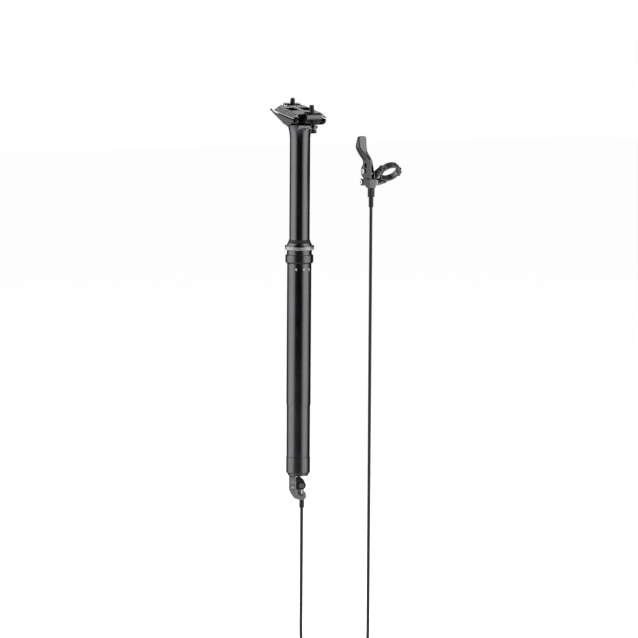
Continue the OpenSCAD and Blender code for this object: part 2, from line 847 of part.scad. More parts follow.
module actuator_bracket() {
    top = post_bottom - fit;
    stop_top = bracket_bottom + 5.6;
    cheek_w = (bracket_w - cheek_slot) / 2;
    color("#6b6d70") cable_frame() difference() {
        union() {
            slab_y(bracket_w) polygon([
                [-11.6, top],
                [-11.8, pivot_z - 1.4],
                [-10.6, pivot_z - 5.4],
                [-8.4, pivot_z - 9.2],
                [-5.2, bracket_bottom + 2.3],
                [-1.6, bracket_bottom + 0.5],
                [1.6, bracket_bottom],
                [7.6, bracket_bottom],
                [9.6, bracket_bottom + 1.4],
                [10.6, bracket_bottom + 3.6],
                [10.6, bracket_bottom + 7],
                [8.8, bracket_bottom + 9.2],
                [6.9, bracket_bottom + 10.4],
                [6.9, stop_top],
                [2.6, stop_top],
                [-0.6, stop_top + 1.4],
                [-1.2, pivot_z - 5],
                [-2.4, pivot_z - 1.6],
                [-2.6, top]
            ]);
            translate([0, (cheek_slot + cheek_w) / 2, 0]) slab_y(cheek_w) polygon([
                [-4, top - 3],
                [3, top - 3],
                [7.4, pivot_z],
                [7.4, stop_top - over],
                [-4, stop_top - over]
            ]);
        }
        translate([-10.8, -cheek_slot / 2, stop_top + 0.4]) cube([30, cheek_slot, top - stop_top + over]);
        translate([cable_x, 0, bracket_bottom - over])
            cylinder(d = lower_ferrule_d + 2 * fit, h = lower_ferrule_in + over);
        translate([cable_x, 0, bracket_bottom]) cylinder(d = wire_hole, h = 20);
        translate([pivot_x, 0, pivot_z]) cross_bar(pin_d / 2 + fit, bracket_w + 2 * over);
        translate([pivot_x, 0, tang_pin_z]) cross_bar(pin_d / 2 + fit, bracket_w + 2 * over);
    }
}

module bracket_pin() {
    color("#a9abad") cable_frame() translate([pivot_x, 0, tang_pin_z])
        cross_bar(pin_d / 2 - fit, bracket_w - 0.6);
}

module actuator_pivot() {
    color("#a9abad") cable_frame() translate([pivot_x, 0, pivot_z]) cross_bar(pin_d / 2, bracket_w - 0.6);
}

module actuator_lever() {
    anchor_wall = 1.8;
    slot_end = -2.4;
    rod_slot = valve_d + 0.6;
    grub_slot = 7.2;
    wire_slot = 5.8;
    pin_slot_r = cross_pin_d / 2 + 0.35;
    color("#4a4c4f") cable_frame() difference() {
        union() {
            slab_y(lever_w) polygon([
                [pivot_x + 3.2, pivot_z + 2.2],
                [-1.9, cross_z + 2.6],
                [0.6, post_bottom - 1.6],
                [2.4, post_bottom - 1.8],
                [7.6, post_bottom - 6.4],
                [8.6, anchor_z + 3.4],
                [cable_x, anchor_z - anchor_d / 2 - anchor_wall + 0.2],
                [pivot_x, pivot_z - hub_r + 0.3]
            ]);
            translate([pivot_x, 0, pivot_z]) cross_bar(hub_r, lever_w);
            translate([cable_x, 0, anchor_z]) cross_bar(anchor_d / 2 + anchor_wall, lever_w);
        }
        translate([pivot_x, 0, pivot_z]) cross_bar(pin_d / 2 + pin_gap, lever_w + 2 * over);
        translate([cable_x, 0, anchor_z]) cross_bar(anchor_d / 2 + pin_gap, lever_w + 2 * over);
        translate([cable_x - wire_slot / 2, -1.4, anchor_z - 20]) cube([wire_slot, 2.8, 40]);
        translate([cable_x, -2.2, anchor_z - grub_slot / 2]) cube([20, 4.4, grub_slot]);
        translate([-3.6, -rod_slot / 2, cross_z - 5]) cube([5.6, rod_slot, 30]);
        translate([0, 0, cross_z]) cross_bar(pin_slot_r, lever_w + 2 * over);
        translate([slot_end, 0, cross_z - 0.4]) cross_bar(pin_slot_r, lever_w + 2 * over);
        translate([slot_end, -lever_w, cross_z - pin_slot_r - 0.2])
            cube([-slot_end, 2 * lever_w, 2 * pin_slot_r]);
    }
}

module cable_anchor() {
    color("#8a8d90") cable_frame() translate([cable_x, 0, anchor_z]) difference() {
        cross_bar(anchor_d / 2, lever_w - 0.4);
        cylinder(d = wire_d + 2 * fit, h = 20, center = true);
        bar_along_x(1.5 + fit, wire_d / 2, 20);
    }
}

module anchor_grub() {
    color("#c4c6c8") cable_frame() translate([cable_x, 0, anchor_z]) difference() {
        bar_along_x(1.5, wire_d / 2 + 2 * fit, 5.4);
        bar_along_x(0.9, 4.2, 20, $fn = 6);
    }
}

module inner_wire() {
    wire_low = bracket_bottom - 5;
    color("#c9cbcd") cable_frame() translate([cable_x, 0, wire_low])
        cylinder(d = wire_d, h = anchor_z + anchor_d / 2 + 0.8 - wire_low, $fn = 24);
}

module lower_ferrule() {
    crimp = 10.2;
    color("#1a1b1c") cable_frame() translate([cable_x, 0, 0]) difference() {
        union() {
            translate([0, 0, lower_ferrule_end])
                cylinder(d = lower_ferrule_d, h = bracket_bottom + lower_ferrule_in - lower_ferrule_end);
            translate([0, 0, bracket_bottom - crimp]) cylinder(d = lower_crimp_d, h = crimp - 0.1);
        }
        translate([0, 0, lower_ferrule_end + 1]) cylinder(d = wire_hole, h = 40);
    }
}

// Remote on the handlebar

module remote_perch() {
    color("#47494c") remote_frame() difference() {
        union() {
            slab_x(perch_w) polygon([
                [perch_front, perch_bottom],
                [4.6, perch_bottom],
                [7.2, perch_bottom + 2.6],
                [perch_back - 1.6, perch_bottom + 2.2],
                [perch_back, perch_bottom + 4],
                [perch_back + 0.6, perch_top - 1.6],
                [perch_back - 1, perch_top],
                [perch_front, perch_top]
            ]);
            slab_x(tongue_w) polygon([
                [lever_back - tongue_r, perch_top - over],
                [lever_back + tongue_r, perch_top - over],
                [lever_back + tongue_r, lever_up],
                [lever_back - tongue_r, lever_up]
            ]);
            translate([0, lever_back, lever_up]) bar_along_x(tongue_r, -tongue_w / 2, tongue_w / 2);
        }
        translate([0, 0, perch_bottom - over]) cylinder(d = adjuster_thread_d + 2 * pin_gap, h = 9);
        cylinder(d = wire_hole, h = 40);
        translate([0, lever_back, lever_up]) bar_along_x(lever_pivot_d / 2 + fit, -perch_w, perch_w);
        translate([0, perch_bolt_y, perch_bolt_z]) bar_along_x(2 + fit, -perch_w, perch_w);
    }
}

// A round bolt head with a hex socket, facing along minus X, from the face at x
module button_head(x, r, h, socket) {
    difference() {
        bar_along_x(r, x - h, x);
        translate([x - h - over, 0, 0]) rotate([0, 90, 0]) cylinder(d = socket, h = over + h * 0.6, $fn = 6);
    }
}

module perch_bolt() {
    color("#d4d6d8") remote_frame() translate([0, perch_bolt_y, perch_bolt_z]) union() {
        button_head(-perch_w / 2 - fit, 2.9, 1.7, 2.6);
        bar_along_x(2, -perch_w / 2 - 0.5, perch_w / 2 + 4);
    }
}

module lever_pivot() {
    color("#d4d6d8") remote_frame() translate([0, lever_back, lever_up]) union() {
        button_head(-lever_half - side_gap, 3, 1.7, 2.8);
        bar_along_x(lever_pivot_d / 2, -lever_half - side_gap - 0.2, perch_w / 2);
    }
}

// A cross section of the lever: centre, half sizes and height, as a thin rounded slice
module lever_slice(x, y, half_x, half_y, z) {
    corner = 1.4;
    for (sx = [-1, 1], sy = [-1, 1])
        translate([x + sx * (half_x - corner), y + sy * (half_y - corner), z])
            cylinder(r = corner, h = 0.4, $fn = hull_fn);
}

module remote_lever() {
    half = lever_half;
    cheek_front = perch_front;
    cheek_z = perch_top + 0.6;
    waist = 29;
    knee = 33;
    bend = 38;
    sweep = 43.4;
    palm = 48.6;
    bevel = 9.8;
    tip_y = 15.2;
    color("#505255") remote_frame() difference() {
        union() {
            slab_x(2 * half) polygon([
                [cheek_front, cheek_z],
                [lever_back, cheek_z + 1],
                [lever_back + fork_bottom_r - 1.6, lever_up + 1],
                [14.6, waist],
                [-3.4, waist]
            ]);
            translate([0, lever_back, lever_up]) bar_along_x(fork_bottom_r - 0.4, -half, half);
            hull() {
                lever_slice(-1, 5.3, 3, 8.4, waist - 2);
                lever_slice(-1.7, 7.5, 2.9, 8.9, knee);
            }
            hull() {
                lever_slice(-1.7, 7.5, 2.9, 8.9, knee);
                lever_slice(-3.2, 11.6, 3.8, 7.9, bend);
            }
            hull() {
                lever_slice(-3.2, 11.6, 3.8, 7.9, bend);
                lever_slice(-5.2, 14.3, 4.6, 6.8, sweep);
            }
            hull() {
                lever_slice(-5.2, 14.3, 4.6, 6.8, sweep);
                lever_slice(-6.5, 15, 6.1, 5.4, palm);
            }
            hull() {
                lever_slice(-6.5, 15, 6.1, 5.4, palm);
                lever_slice(-5.5, tip_y, 6.7, 2, paddle_top - 3.8);
                lever_slice(-5.4, tip_y, 6.1, 1.9, paddle_top - 1.5);
                lever_slice(-5.4, tip_y, 4.6, 1.6, paddle_top - 0.4);
            }
        }
        rotate([0, 0, -remote_turn]) translate([half + 1.4, -30, perch_top])
            rotate([0, -bevel, 0]) cube([20, 60, waist - perch_top + over]);
        translate([-fork_gap / 2, -20, 0]) cube([fork_gap, 60, lever_up + tongue_r + side_gap]);
        translate([-fork_gap / 2, -20, 0]) cube([fork_gap, 20 + lever_back + 1, fork_top]);
        translate([0, lever_back, lever_up]) bar_along_x(lever_pivot_d / 2 + pin_gap, -perch_w, perch_w);
        translate([0, head_y, head_z]) bar_along_x(cable_head_d / 2 + pin_gap, -head_pocket, head_pocket);
        translate([0, 8.2, 25.4]) bar_along_x(2.7, -perch_w, -fork_gap / 2 + over);
    }
}

module cable_head() {
    length = 2 * head_pocket - 0.2;
    color("#c9cbcd") remote_frame() translate([0, head_y, head_z]) difference() {
        bar_along_x(cable_head_d / 2, -length / 2, length / 2);
        translate([0, 0, -10]) cylinder(d = wire_d + 2 * fit, h = 10);
    }
}

module upper_wire() {
    wire_low = adjuster_bottom - 8;
    color("#c9cbcd") remote_frame() translate([0, head_y, wire_low])
        cylinder(d = wire_d, h = head_z - fit - wire_low, $fn = 24);
}

module barrel_adjuster() {
    flutes = 10;
    flange_top = perch_bottom - 0.1;
    color("#3a3c3f") remote_frame() difference() {
        union() {
            translate([0, 0, adjuster_bottom]) cylinder(d = adjuster_d, h = adjuster_len);
            translate([0, 0, flange_top - over]) cylinder(d = adjuster_thread_d, h = 8 + over);
        }
        for (i = [0:flutes - 1]) rotate([0, 0, i * 360 / flutes])
            translate([adjuster_d / 2 + 0.5, 0, adjuster_bottom + 1])
                cylinder(r = 0.9, h = adjuster_len - 3.6, $fn = 24);
        translate([0, 0, adjuster_bottom - over])
            cylinder(d = remote_ferrule_d + 2 * pin_gap, h = remote_ferrule_in + over);
        translate([0, 0, adjuster_bottom]) cylinder(d = wire_hole, h = 40);
    }
}

module remote_ferrule() {
    length = adjuster_bottom + remote_ferrule_in - 0.1 - remote_ferrule_end;
    color("#2a2b2d") remote_frame() difference() {
        translate([0, 0, remote_ferrule_end]) cylinder(d = remote_ferrule_d, h = length);
        translate([0, 0, remote_ferrule_end + 3]) cylinder(d = wire_hole, h = 40);
    }
}

// The hinge of the handlebar clamp: X points out of the ring and Y along it towards the band
module hinge_frame() {
    bar_frame() rotate([0, 0, hinge_turn]) translate([hinge_r, 0, 0]) children();
}

// Half of the handlebar clamp: side 1 is the bracket's half and side -1 the band's
module half_clamp(side) {
    gap = 0.5;
    far = 80;
    split_end = far * [cos(hinge_turn), sin(hinge_turn)];
    bar_frame() intersection() {
        difference() {
            union() {
                cylinder(r = band_r, h = band_w, center = true);
                linear_extrude(height = band_w, center = true) polygon([
                    [8, lug_h],
                    [lug_end - 1, lug_h],
                    [lug_end, lug_h - 1],
                    [lug_end, clamp_head_y],
                    [clamp_bolt_x - 0.6, -7.4],
                    [8, -10]
                ]);
            }
            cylinder(r = bar_r, h = band_w + 2 * over, center = true);
            translate([clamp_bolt_x, 0, 0]) cross_bar(clamp_bolt_d / 2 + fit, 40);
            translate([clamp_bolt_x, clamp_head_y, 0]) rotate([90, 0, 0])
                cylinder(r = clamp_head_r + 0.15, h = 20);
        }
        linear_extrude(height = far, center = true) offset(delta = -gap)
            polygon(side > 0
                ? [[0, 0], [far, 0], [far, far], [-far, far], split_end]
                : [[0, 0], split_end, [0, -far], [far, -far], [far, 0]]);
    }
}

module bar_bracket() {
    pad_w = 4.2;
    pad_low = perch_bottom + 3;
    strap_w = 2.6;
    strap_h = 8.2;
    strap_y = 1.5;
    strap_d = 9;
    foot_h = 2.6;
    foot_d = 11;
    keel_w = 5;
    keel_h = 4;
    web = 2;
    bar_room = 0.6;
    color("#47494c") difference() {
        union() {
            difference() {
                half_clamp(1);
                hinge_frame() cylinder(r = knuckle_r + 0.35, h = band_w + 2 * over, center = true);
            }
            hinge_frame() for (z = [-band_w / 2, band_w / 2 - knuckle_h]) {
                translate([0, 0, z]) cylinder(r = knuckle_r, h = knuckle_h);
                translate([-2, -0.6 - knuckle_link, z]) cube([knuckle_link, knuckle_link, knuckle_h]);
            }
            remote_frame() translate([arm_x, perch_front + 1, pad_low])
                cube([pad_w, perch_back - perch_front - 2, perch_top - 1 - pad_low]);
            hull() {
                remote_frame() translate([arm_x, strap_y, perch_top - 3]) cube([strap_w, strap_d, strap_h]);
                hinge_frame() translate([-2, -7.5, -band_w / 2]) cube([knuckle_link, 4.6, band_w]);
            }
            hull() {
                remote_frame() translate([arm_x, perch_front + 1, pad_low]) cube([pad_w, foot_d, foot_h]);
                bar_frame() translate([-keel_w, band_r - band_wall, -band_w / 2 - 1])
                    cube([keel_w, keel_h, band_w]);
            }
            hull() {
                remote_frame() translate([arm_x, strap_y + 4.5, pad_low + 1]) cube([strap_w, 4, strap_d]);
                bar_frame() translate([-bar_r - web, -1, band_w / 2 - web - 0.2]) cube([web, band_r, web]);
            }
        }
        remote_frame() translate([0, perch_bolt_y, perch_bolt_z]) bar_along_x(2 + fit, 0, 40);
        hinge_frame() cylinder(d = clamp_hinge_d + 2 * fit, h = 40, center = true);
        hinge_frame() cylinder(r = knuckle_r + 0.35, h = knuckle_h + 0.6, center = true);
        bar_frame() cylinder(r = bar_r, h = 60, center = true);
        for (side = [-1, 1]) bar_frame() translate([0, 0, side * (band_w / 2 + 20)])
            cylinder(r = bar_r + bar_room, h = 40, center = true);
    }
}

module clamp_band() {
    color("#5a5c5f") difference() {
        union() {
            difference() {
                half_clamp(-1);
                hinge_frame() cylinder(r = knuckle_r + 0.35, h = band_w + 2 * over, center = true);
            }
            hinge_frame() cylinder(r = knuckle_r, h = knuckle_h, center = true);
            hinge_frame() translate([-2, 0.6, -knuckle_h / 2]) cube([2.8, knuckle_link, knuckle_h]);
        }
        hinge_frame() cylinder(d = clamp_hinge_d + 2 * fit, h = 40, center = true);
        bar_frame() cylinder(r = bar_r, h = 60, center = true);
    }
}

module clamp_bolt() {
    head_h = 2.6;
    color("#26272a") bar_frame() translate([clamp_bolt_x, 0, 0]) difference() {
        union() {
            translate([0, clamp_head_y - fit, 0]) rotate([90, 0, 0]) cylinder(r = clamp_head_r, h = head_h);
            translate([0, lug_h - 0.4, 0]) rotate([90, 0, 0])
                cylinder(d = clamp_bolt_d, h = lug_h - clamp_head_y);
        }
        translate([0, clamp_head_y - 1, 0]) rotate([90, 0, 0]) cylinder(d = 2.6, h = head_h, $fn = 6);
    }
}

module clamp_hinge() {
    color("#a9abad") hinge_frame() cylinder(d = clamp_hinge_d, h = band_w - 0.4, center = true);
}

// Cable housing: one round tube swept along a list of points

function unit(v) = v / norm(v);

function spline_point(p, i, t) =
    let (
        last = len(p) - 1,
        a = p[max(i - 1, 0)],
        b = p[i],
        c = p[min(i + 1, last)],
        d = p[min(i + 2, last)]
    )
    0.5 * (2 * b + (c - a) * t + (2 * a - 5 * b + 4 * c - d) * t * t + (3 * b - a - 3 * c + d) * t * t * t);

function smooth_route(p, steps) = concat(
    [for (i = [0:len(p) - 2], s = [0:steps - 1]) spline_point(p, i, s / steps)],
    [p[len(p) - 1]]
);

function heading(p, i) = unit(p[min(i + 1, len(p) - 1)] - p[max(i - 1, 0)]);

function tube_ring(centre, along, r, sides) =
    let (
        across = unit(cross(along, [0, 1, 0])),
        beside = cross(along, across)
    )
    [for (k = [0:sides - 1]) centre + r * (cos(k * 360 / sides) * across + sin(k * 360 / sides) * beside)];

module tube_along(p, d, sides) {
    last = len(p) - 1;
    points = [for (i = [0:last]) each tube_ring(p[i], heading(p, i), d / 2, sides)];
    walls = [for (i = [0:last - 1], k = [0:sides - 1]) let (
            a = i * sides + k,
            b = i * sides + (k + 1) % sides
        ) each [[a, b + sides, b], [a, a + sides, b + sides]]];
    caps = concat(
        [for (k = [1:sides - 2]) [0, k, k + 1]],
        [for (k = [1:sides - 2]) [last * sides, last * sides + k + 1, last * sides + k]]
    );
    polyhedron(points, concat(walls, caps));
}

// The stored coil spirals in on one layer, climbs where it turns, and spirals out on the other
coil_rings = 24;
coil_mid = coil_turns / 2;

function coil_rise(t) = let (s = min(max((t - coil_mid + 0.25) / 0.5, 0), 1)) s * s * (3 - 2 * s);

function coil_point(t) =
    let (
        r = coil_inner_r + coil_step * abs(t - coil_mid),
        a = 180 + 360 * t
    )
    [coil_centre[0] + r * cos(a), coil_layer * (coil_rise(t) - 0.5), coil_centre[1] + r * sin(a)];

coil_path = [for (i = [0:coil_turns * coil_rings]) coil_point(i / coil_rings)];
coil_tube = concat(
    [coil_path[0] + [0, 0, housing_d]],
    coil_path,
    [coil_path[len(coil_path) - 1] + [0, 0, housing_d]]
);
coil_self_gap = min([for (i = [0:len(coil_path) - 1], j = [i + coil_rings / 2:1:len(coil_path) - 1])
    norm(coil_path[i] - coil_path[j])]) - housing_d;
echo(coil_self_gap = coil_self_gap);

module cable_housing_post() {
    color("#1c1d1f") cable_frame() tube_along(smooth_route(post_route, 2), housing_d, 8);
}

module cable_housing_remote() {
    color("#1c1d1f") cable_frame() tube_along(smooth_route(remote_route, 2), housing_d, 8);
}

module cable_coil() {
    color("#1c1d1f") cable_frame() tube_along(coil_tube, housing_d, 6);
}

module cable_tie() {
    wall = 1.2;
    width = 5;
    gap = 0.4;
    low = coil_outer_r + housing_d / 2 + gap;
    high = coil_inner_r - housing_d / 2 - gap;
    half = coil_layer / 2 + housing_d / 2 + gap;
    color("#0f0f10") cable_frame() translate([coil_centre[0], 0, coil_centre[1]]) difference() {
        translate([-width / 2, -half - wall, -low - wall])
            cube([width, 2 * half + 2 * wall, low - high + 2 * wall]);
        translate([-width, -half, -low]) cube([2 * width, 2 * half, low - high]);
    }
}

outer_tube();
lower_sleeve();
seal_head();
lock_ring();
wiper_seal();
upper_bush();
bottom_cap();
cartridge_body();
cartridge_gland();
actuator_bracket();
bracket_pin();
actuator_pivot();
lower_ferrule();
stanchion();
guide_keys();
lower_bush();
cartridge_rod();
cartridge_piston();
rod_nut();
lower_cradle();
top_clamp();
front_bolt();
rear_bolt();
front_nut();
rear_nut();
bolt_washers();
actuator_lever();
cable_anchor();
anchor_grub();
inner_wire();
valve_rod();
remote_perch();
perch_bolt();
lever_pivot();
remote_lever();
cable_head();
upper_wire();
barrel_adjuster();
remote_ferrule();
bar_bracket();
clamp_band();
clamp_bolt();
clamp_hinge();
cable_housing_post();
cable_coil();
cable_housing_remote();
cable_tie();
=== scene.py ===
"""Dress a dropper seatpost: finishes for its pieces, threaded clamp bolts, its cable and a studio."""

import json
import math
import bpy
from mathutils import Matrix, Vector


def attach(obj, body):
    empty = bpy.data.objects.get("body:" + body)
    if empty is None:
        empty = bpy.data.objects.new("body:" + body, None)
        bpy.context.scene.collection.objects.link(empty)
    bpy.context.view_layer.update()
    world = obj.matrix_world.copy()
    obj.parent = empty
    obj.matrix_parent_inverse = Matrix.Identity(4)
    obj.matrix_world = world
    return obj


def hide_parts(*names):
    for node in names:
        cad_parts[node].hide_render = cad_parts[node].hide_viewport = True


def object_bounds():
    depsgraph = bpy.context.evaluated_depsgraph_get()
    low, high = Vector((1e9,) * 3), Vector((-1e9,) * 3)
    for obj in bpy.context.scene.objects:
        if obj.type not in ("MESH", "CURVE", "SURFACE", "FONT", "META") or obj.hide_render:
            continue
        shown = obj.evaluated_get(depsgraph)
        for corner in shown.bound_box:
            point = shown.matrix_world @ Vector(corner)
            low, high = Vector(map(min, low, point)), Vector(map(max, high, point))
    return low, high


bl_info = {
    "name": "Dropper seatpost looks",
    "version": (1, 0, 0),
    "blender": (4, 5, 0),
    "location": "3D View > Sidebar > Seatpost",
    "description": "Finishes, threaded bolts, cable and studio for a dropper seatpost with a bar remote",
    "category": "Object",
}

import bpy
from mathutils import Matrix, Vector

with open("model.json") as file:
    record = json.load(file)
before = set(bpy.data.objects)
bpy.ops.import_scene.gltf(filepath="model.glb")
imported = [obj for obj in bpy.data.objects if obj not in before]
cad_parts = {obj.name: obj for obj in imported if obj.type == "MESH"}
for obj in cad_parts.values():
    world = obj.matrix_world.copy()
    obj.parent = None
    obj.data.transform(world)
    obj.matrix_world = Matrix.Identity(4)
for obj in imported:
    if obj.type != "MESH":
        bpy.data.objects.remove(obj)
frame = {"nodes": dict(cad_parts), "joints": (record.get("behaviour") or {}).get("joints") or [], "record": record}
CAD_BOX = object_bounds()
NODES = frame["nodes"]
JOINT_PLACE = {joint["name"]: joint.get("pos_m") for joint in frame["joints"]}
RAIL = next(mount for mount in frame["record"]["mounts"] if mount["name"] == "saddle_rail_left")
MM = 0.001
GRAIN_DEPTH = 0.1 * MM

# Heights on the post, from the collar's underside
HEAD_TOP = 176.5 * MM
RING_LAND = 21.3 * MM
MARK_LEVEL = -7.2 * MM
MARK_HALF_HEIGHT = 1.6 * MM

# Insertion marks round the tube: bearings in degrees and half width in radians
MARK_BEARINGS = (-52, -13, 17.5)
MARK_HALF_WIDTH = 0.085

# Cable route in millimetres, in the cable's own plane: away from the post, through the plane, up
POST_ROUTE = [
    (4.9, 0, -314),
    (4.9, 0, -326),
    (4.9, 0, -360),
    (4.9, 0, -400),
    (4.9, 0, -440),
    (4.9, 0, -470),
    (5.4, -0.1, -484),
    (7.4, -0.5, -497),
    (10.6, -1.0, -507.5),
    (14.4, -1.6, -518),
    (17.6, -2.1, -526.5),
    (19.425, -2.3, -533),
    (19.425, -2.3, -537),
    (19.425, -2.3, -541),
]
REMOTE_ROUTE = [
    (76.375, 2.3, -541),
    (76.375, 2.3, -537),
    (76.375, 2.3, -533),
    (78.2, 2.1, -526.5),
    (81.4, 1.6, -518),
    (85.2, 1.0, -507.5),
    (88.3, 0.5, -497),
    (90.3, 0.1, -484),
    (90.8, 0, -470),
    (90.8, 0, -420),
    (90.8, 0, -340),
    (90.8, 0, -260),
    (90.8, 0, -180),
    (90.8, 0, -100),
    (90.8, 0, -20),
    (90.8, 0, 52.3),
    (90.8, 0, 72.3),
]


class SeatpostFinishSettings(bpy.types.PropertyGroup):
    """Colours of the seatpost's finishes."""

    tube_colour: bpy.props.FloatVectorProperty(
        name="Tube colour",
        description="Black anodising of the clamped tube, sleeve and cap",
        subtype="COLOR",
        default=(0.072, 0.073, 0.076),
        min=0,
        max=1,
    )
    # The plate's top face is painted this lighter grey as painted light from above.
    lit_plate_colour: bpy.props.FloatVectorProperty(
        name="Lit plate colour",
        description="Grey of the clamp plate's top face, painted lighter as painted light from above",
        subtype="COLOR",
        default=(0.4, 0.4, 0.405),
        min=0,
        max=1,
    )
    plate_height: bpy.props.FloatProperty(
        name="Plate height",
        description="Height of the clamp plate's top face above the rails' centre line, where its painted light begins",
        default=7.4 * MM,
        min=5 * MM,
        max=10 * MM,
        subtype="DISTANCE",
    )
    plate_middle: bpy.props.FloatProperty(
        name="Plate middle",
        description="Half width of the clamp plate's middle between its serrated wings",
        default=19 * MM,
        min=15 * MM,
        max=21 * MM,
        subtype="DISTANCE",
    )
    ring_colour: bpy.props.FloatVectorProperty(
        name="Ring colour",
        description="Bright silver of the lock ring",
        subtype="COLOR",
        default=(0.28, 0.281, 0.284),
        min=0,
        max=1,
    )
    lever_colour: bpy.props.FloatVectorProperty(
        name="Lever colour",
        description="Satin grey of the remote",
        subtype="COLOR",
        default=(0.085, 0.086, 0.088),
        min=0,
        max=1,
    )


class SeatpostBoltSettings(bpy.types.PropertyGroup):
    """Sizes of the clamp bolts' threads."""

    crest_radius: bpy.props.FloatProperty(
        name="Crest radius",
        description="Radius over the thread's crests",
        default=3.0 * MM,
        min=2 * MM,
        max=4 * MM,
        subtype="DISTANCE",
    )
    root_radius: bpy.props.FloatProperty(
        name="Root radius",
        description="Radius at the foot of the thread",
        default=2.45 * MM,
        min=1.5 * MM,
        max=3.5 * MM,
        subtype="DISTANCE",
    )
    pitch: bpy.props.FloatProperty(
        name="Pitch",
        description="Distance from one crest of the thread to the next",
        default=1.0 * MM,
        min=0.5 * MM,
        max=2 * MM,
        subtype="DISTANCE",
    )
    head_radius: bpy.props.FloatProperty(
        name="Head radius",
        description="Radius of the bolt's round head",
        default=4.3 * MM,
        min=3 * MM,
        max=6 * MM,
        subtype="DISTANCE",
    )
    head_height: bpy.props.FloatProperty(
        name="Head height",
        description="Height of the bolt's round head",
        default=4.4 * MM,
        min=2 * MM,
        max=7 * MM,
        subtype="DISTANCE",
    )
    socket_width: bpy.props.FloatProperty(
        name="Socket width",
        description="Width of the hexagon socket across its corners",
        default=4.6 * MM,
        min=2 * MM,
        max=6 * MM,
        subtype="DISTANCE",
    )
    front_lean: bpy.props.FloatProperty(
        name="Front lean",
        description="Lean of the front bolt about the cross axis",
        default=math.radians(-6),
        subtype="ANGLE",
    )
    rear_lean: bpy.props.FloatProperty(
        name="Rear lean",
        description="Lean of the rear bolt about the cross axis",
        default=math.radians(9.5),
        subtype="ANGLE",
    )


class SeatpostCableSettings(bpy.types.PropertyGroup):
    """Sizes of the cable and of the coil that stores its spare length."""

    diameter: bpy.props.FloatProperty(
        name="Diameter",
        description="Outside diameter of the cable housing",
        default=4 * MM,
        min=3 * MM,
        max=6 * MM,
        subtype="DISTANCE",
    )
    bearing: bpy.props.FloatProperty(
        name="Bearing",
        description="Turn of the cable's plane from the forward direction",
        default=math.radians(53),
        subtype="ANGLE",
    )
    coil_turns: bpy.props.FloatProperty(
        name="Coil turns",
        description="Turns of the stored coil",
        default=5.5,
        min=3.5,
        max=6.5,
    )
    coil_inner: bpy.props.FloatProperty(
        name="Inner radius",
        description="Radius of the coil's inmost turn",
        default=16.1 * MM,
        min=14 * MM,
        max=20 * MM,
        subtype="DISTANCE",
    )
    coil_step: bpy.props.FloatProperty(
        name="Turn step",
        description="Distance from one turn of the coil to the next",
        default=4.5 * MM,
        min=4 * MM,
        max=6 * MM,
        subtype="DISTANCE",
    )
    coil_layer: bpy.props.FloatProperty(
        name="Layer step",
        description="Distance between the coil's two layers",
        default=4.6 * MM,
        min=4 * MM,
        max=6 * MM,
        subtype="DISTANCE",
    )
    coil_across: bpy.props.FloatProperty(
        name="Coil place",
        description="Distance of the coil's centre from the post axis",
        default=47.9 * MM,
        subtype="DISTANCE",
    )
    coil_height: bpy.props.FloatProperty(
        name="Coil height",
        description="Height of the coil's centre above the collar's underside",
        default=-545 * MM,
        subtype="DISTANCE",
    )


class SeatpostStudioSettings(bpy.types.PropertyGroup):
    """Camera and light of the studio."""

    azimuth: bpy.props.FloatProperty(
        name="Azimuth",
        description="Camera direction round the post",
        default=math.radians(53),
        subtype="ANGLE",
    )
    elevation: bpy.props.FloatProperty(
        name="Elevation",
        description="Camera height above the horizon",
        default=math.radians(5),
        subtype="ANGLE",
    )
    roll: bpy.props.FloatProperty(
        name="Roll",
        description="Turn of the camera about its line of sight",
        default=math.radians(0.37),
        subtype="ANGLE",
    )
    lens: bpy.props.FloatProperty(
        name="Lens",
        description="Focal length in millimetres on a 36 mm sensor",
        default=250,
        min=50,
        max=600,
    )
    frame_width: bpy.props.FloatProperty(
        name="Frame width",
        description="Width that the picture covers at the post",
        default=0.814,
        subtype="DISTANCE",
    )
    target: bpy.props.FloatVectorProperty(
        name="Target",
        description="Point at the middle of the picture",
        default=(0.0154, 0.0204, -0.0711),
        subtype="XYZ",
    )
    side_power: bpy.props.FloatProperty(
        name="Side softboxes",
        description="Power of the right softbox in watts, the left one has as much for its width",
        default=56,
        min=0,
    )
    top_power: bpy.props.FloatProperty(
        name="Top softbox",
        description="Power of the overhead softbox in watts",
        default=14,
        min=0,
    )
    surround: bpy.props.FloatProperty(
        name="Surround",
        description="Strength of the soft light from all round",
        default=0.03,
        min=0,
        max=1,
    )


# Shared helpers


def deselect_all():
    """Leave edit mode and select nothing."""
    if bpy.context.object and bpy.context.object.mode != "OBJECT":
        bpy.ops.object.mode_set(mode="OBJECT")
    bpy.ops.object.select_all(action="DESELECT")


def make_active(thing):
    """Select one object alone and make it active."""
    deselect_all()
    thing.select_set(True)
    bpy.context.view_layer.objects.active = thing


def apply_modifier(thing, kind, **values):
    """Add a modifier with these values and apply it."""
    make_active(thing)
    modifier = thing.modifiers.new(kind.title(), kind)
    for name, value in values.items():
        setattr(modifier, name, value)
    bpy.ops.object.modifier_apply(modifier=modifier.name)


def join_pieces(pieces, name):
    """Join pieces into the first one and name it."""
    make_active(pieces[0])
    for piece in pieces[1:]:
        piece.select_set(True)
    bpy.ops.object.join()
    pieces[0].name = name
    return pieces[0]


def set_in_place(piece, place):
    """Move a piece by a matrix and keep that place in its mesh."""
    make_active(piece)
    piece.matrix_world = place
    bpy.ops.object.transform_apply(location=True, rotation=True, scale=True)


def smooth_by_angle(piece, degrees):
    """Shade a piece smooth where its faces meet at less than this angle."""
    make_active(piece)
    bpy.ops.object.shade_smooth_by_angle(angle=math.radians(degrees))


def give_material(piece, material):
    """Give a piece one material all over."""
    piece.data.materials.clear()
    piece.data.materials.append(material)


def dress_nodes(material, *names):
    """Give CAD nodes one material."""
    for name in names:
        give_material(NODES[name], material)


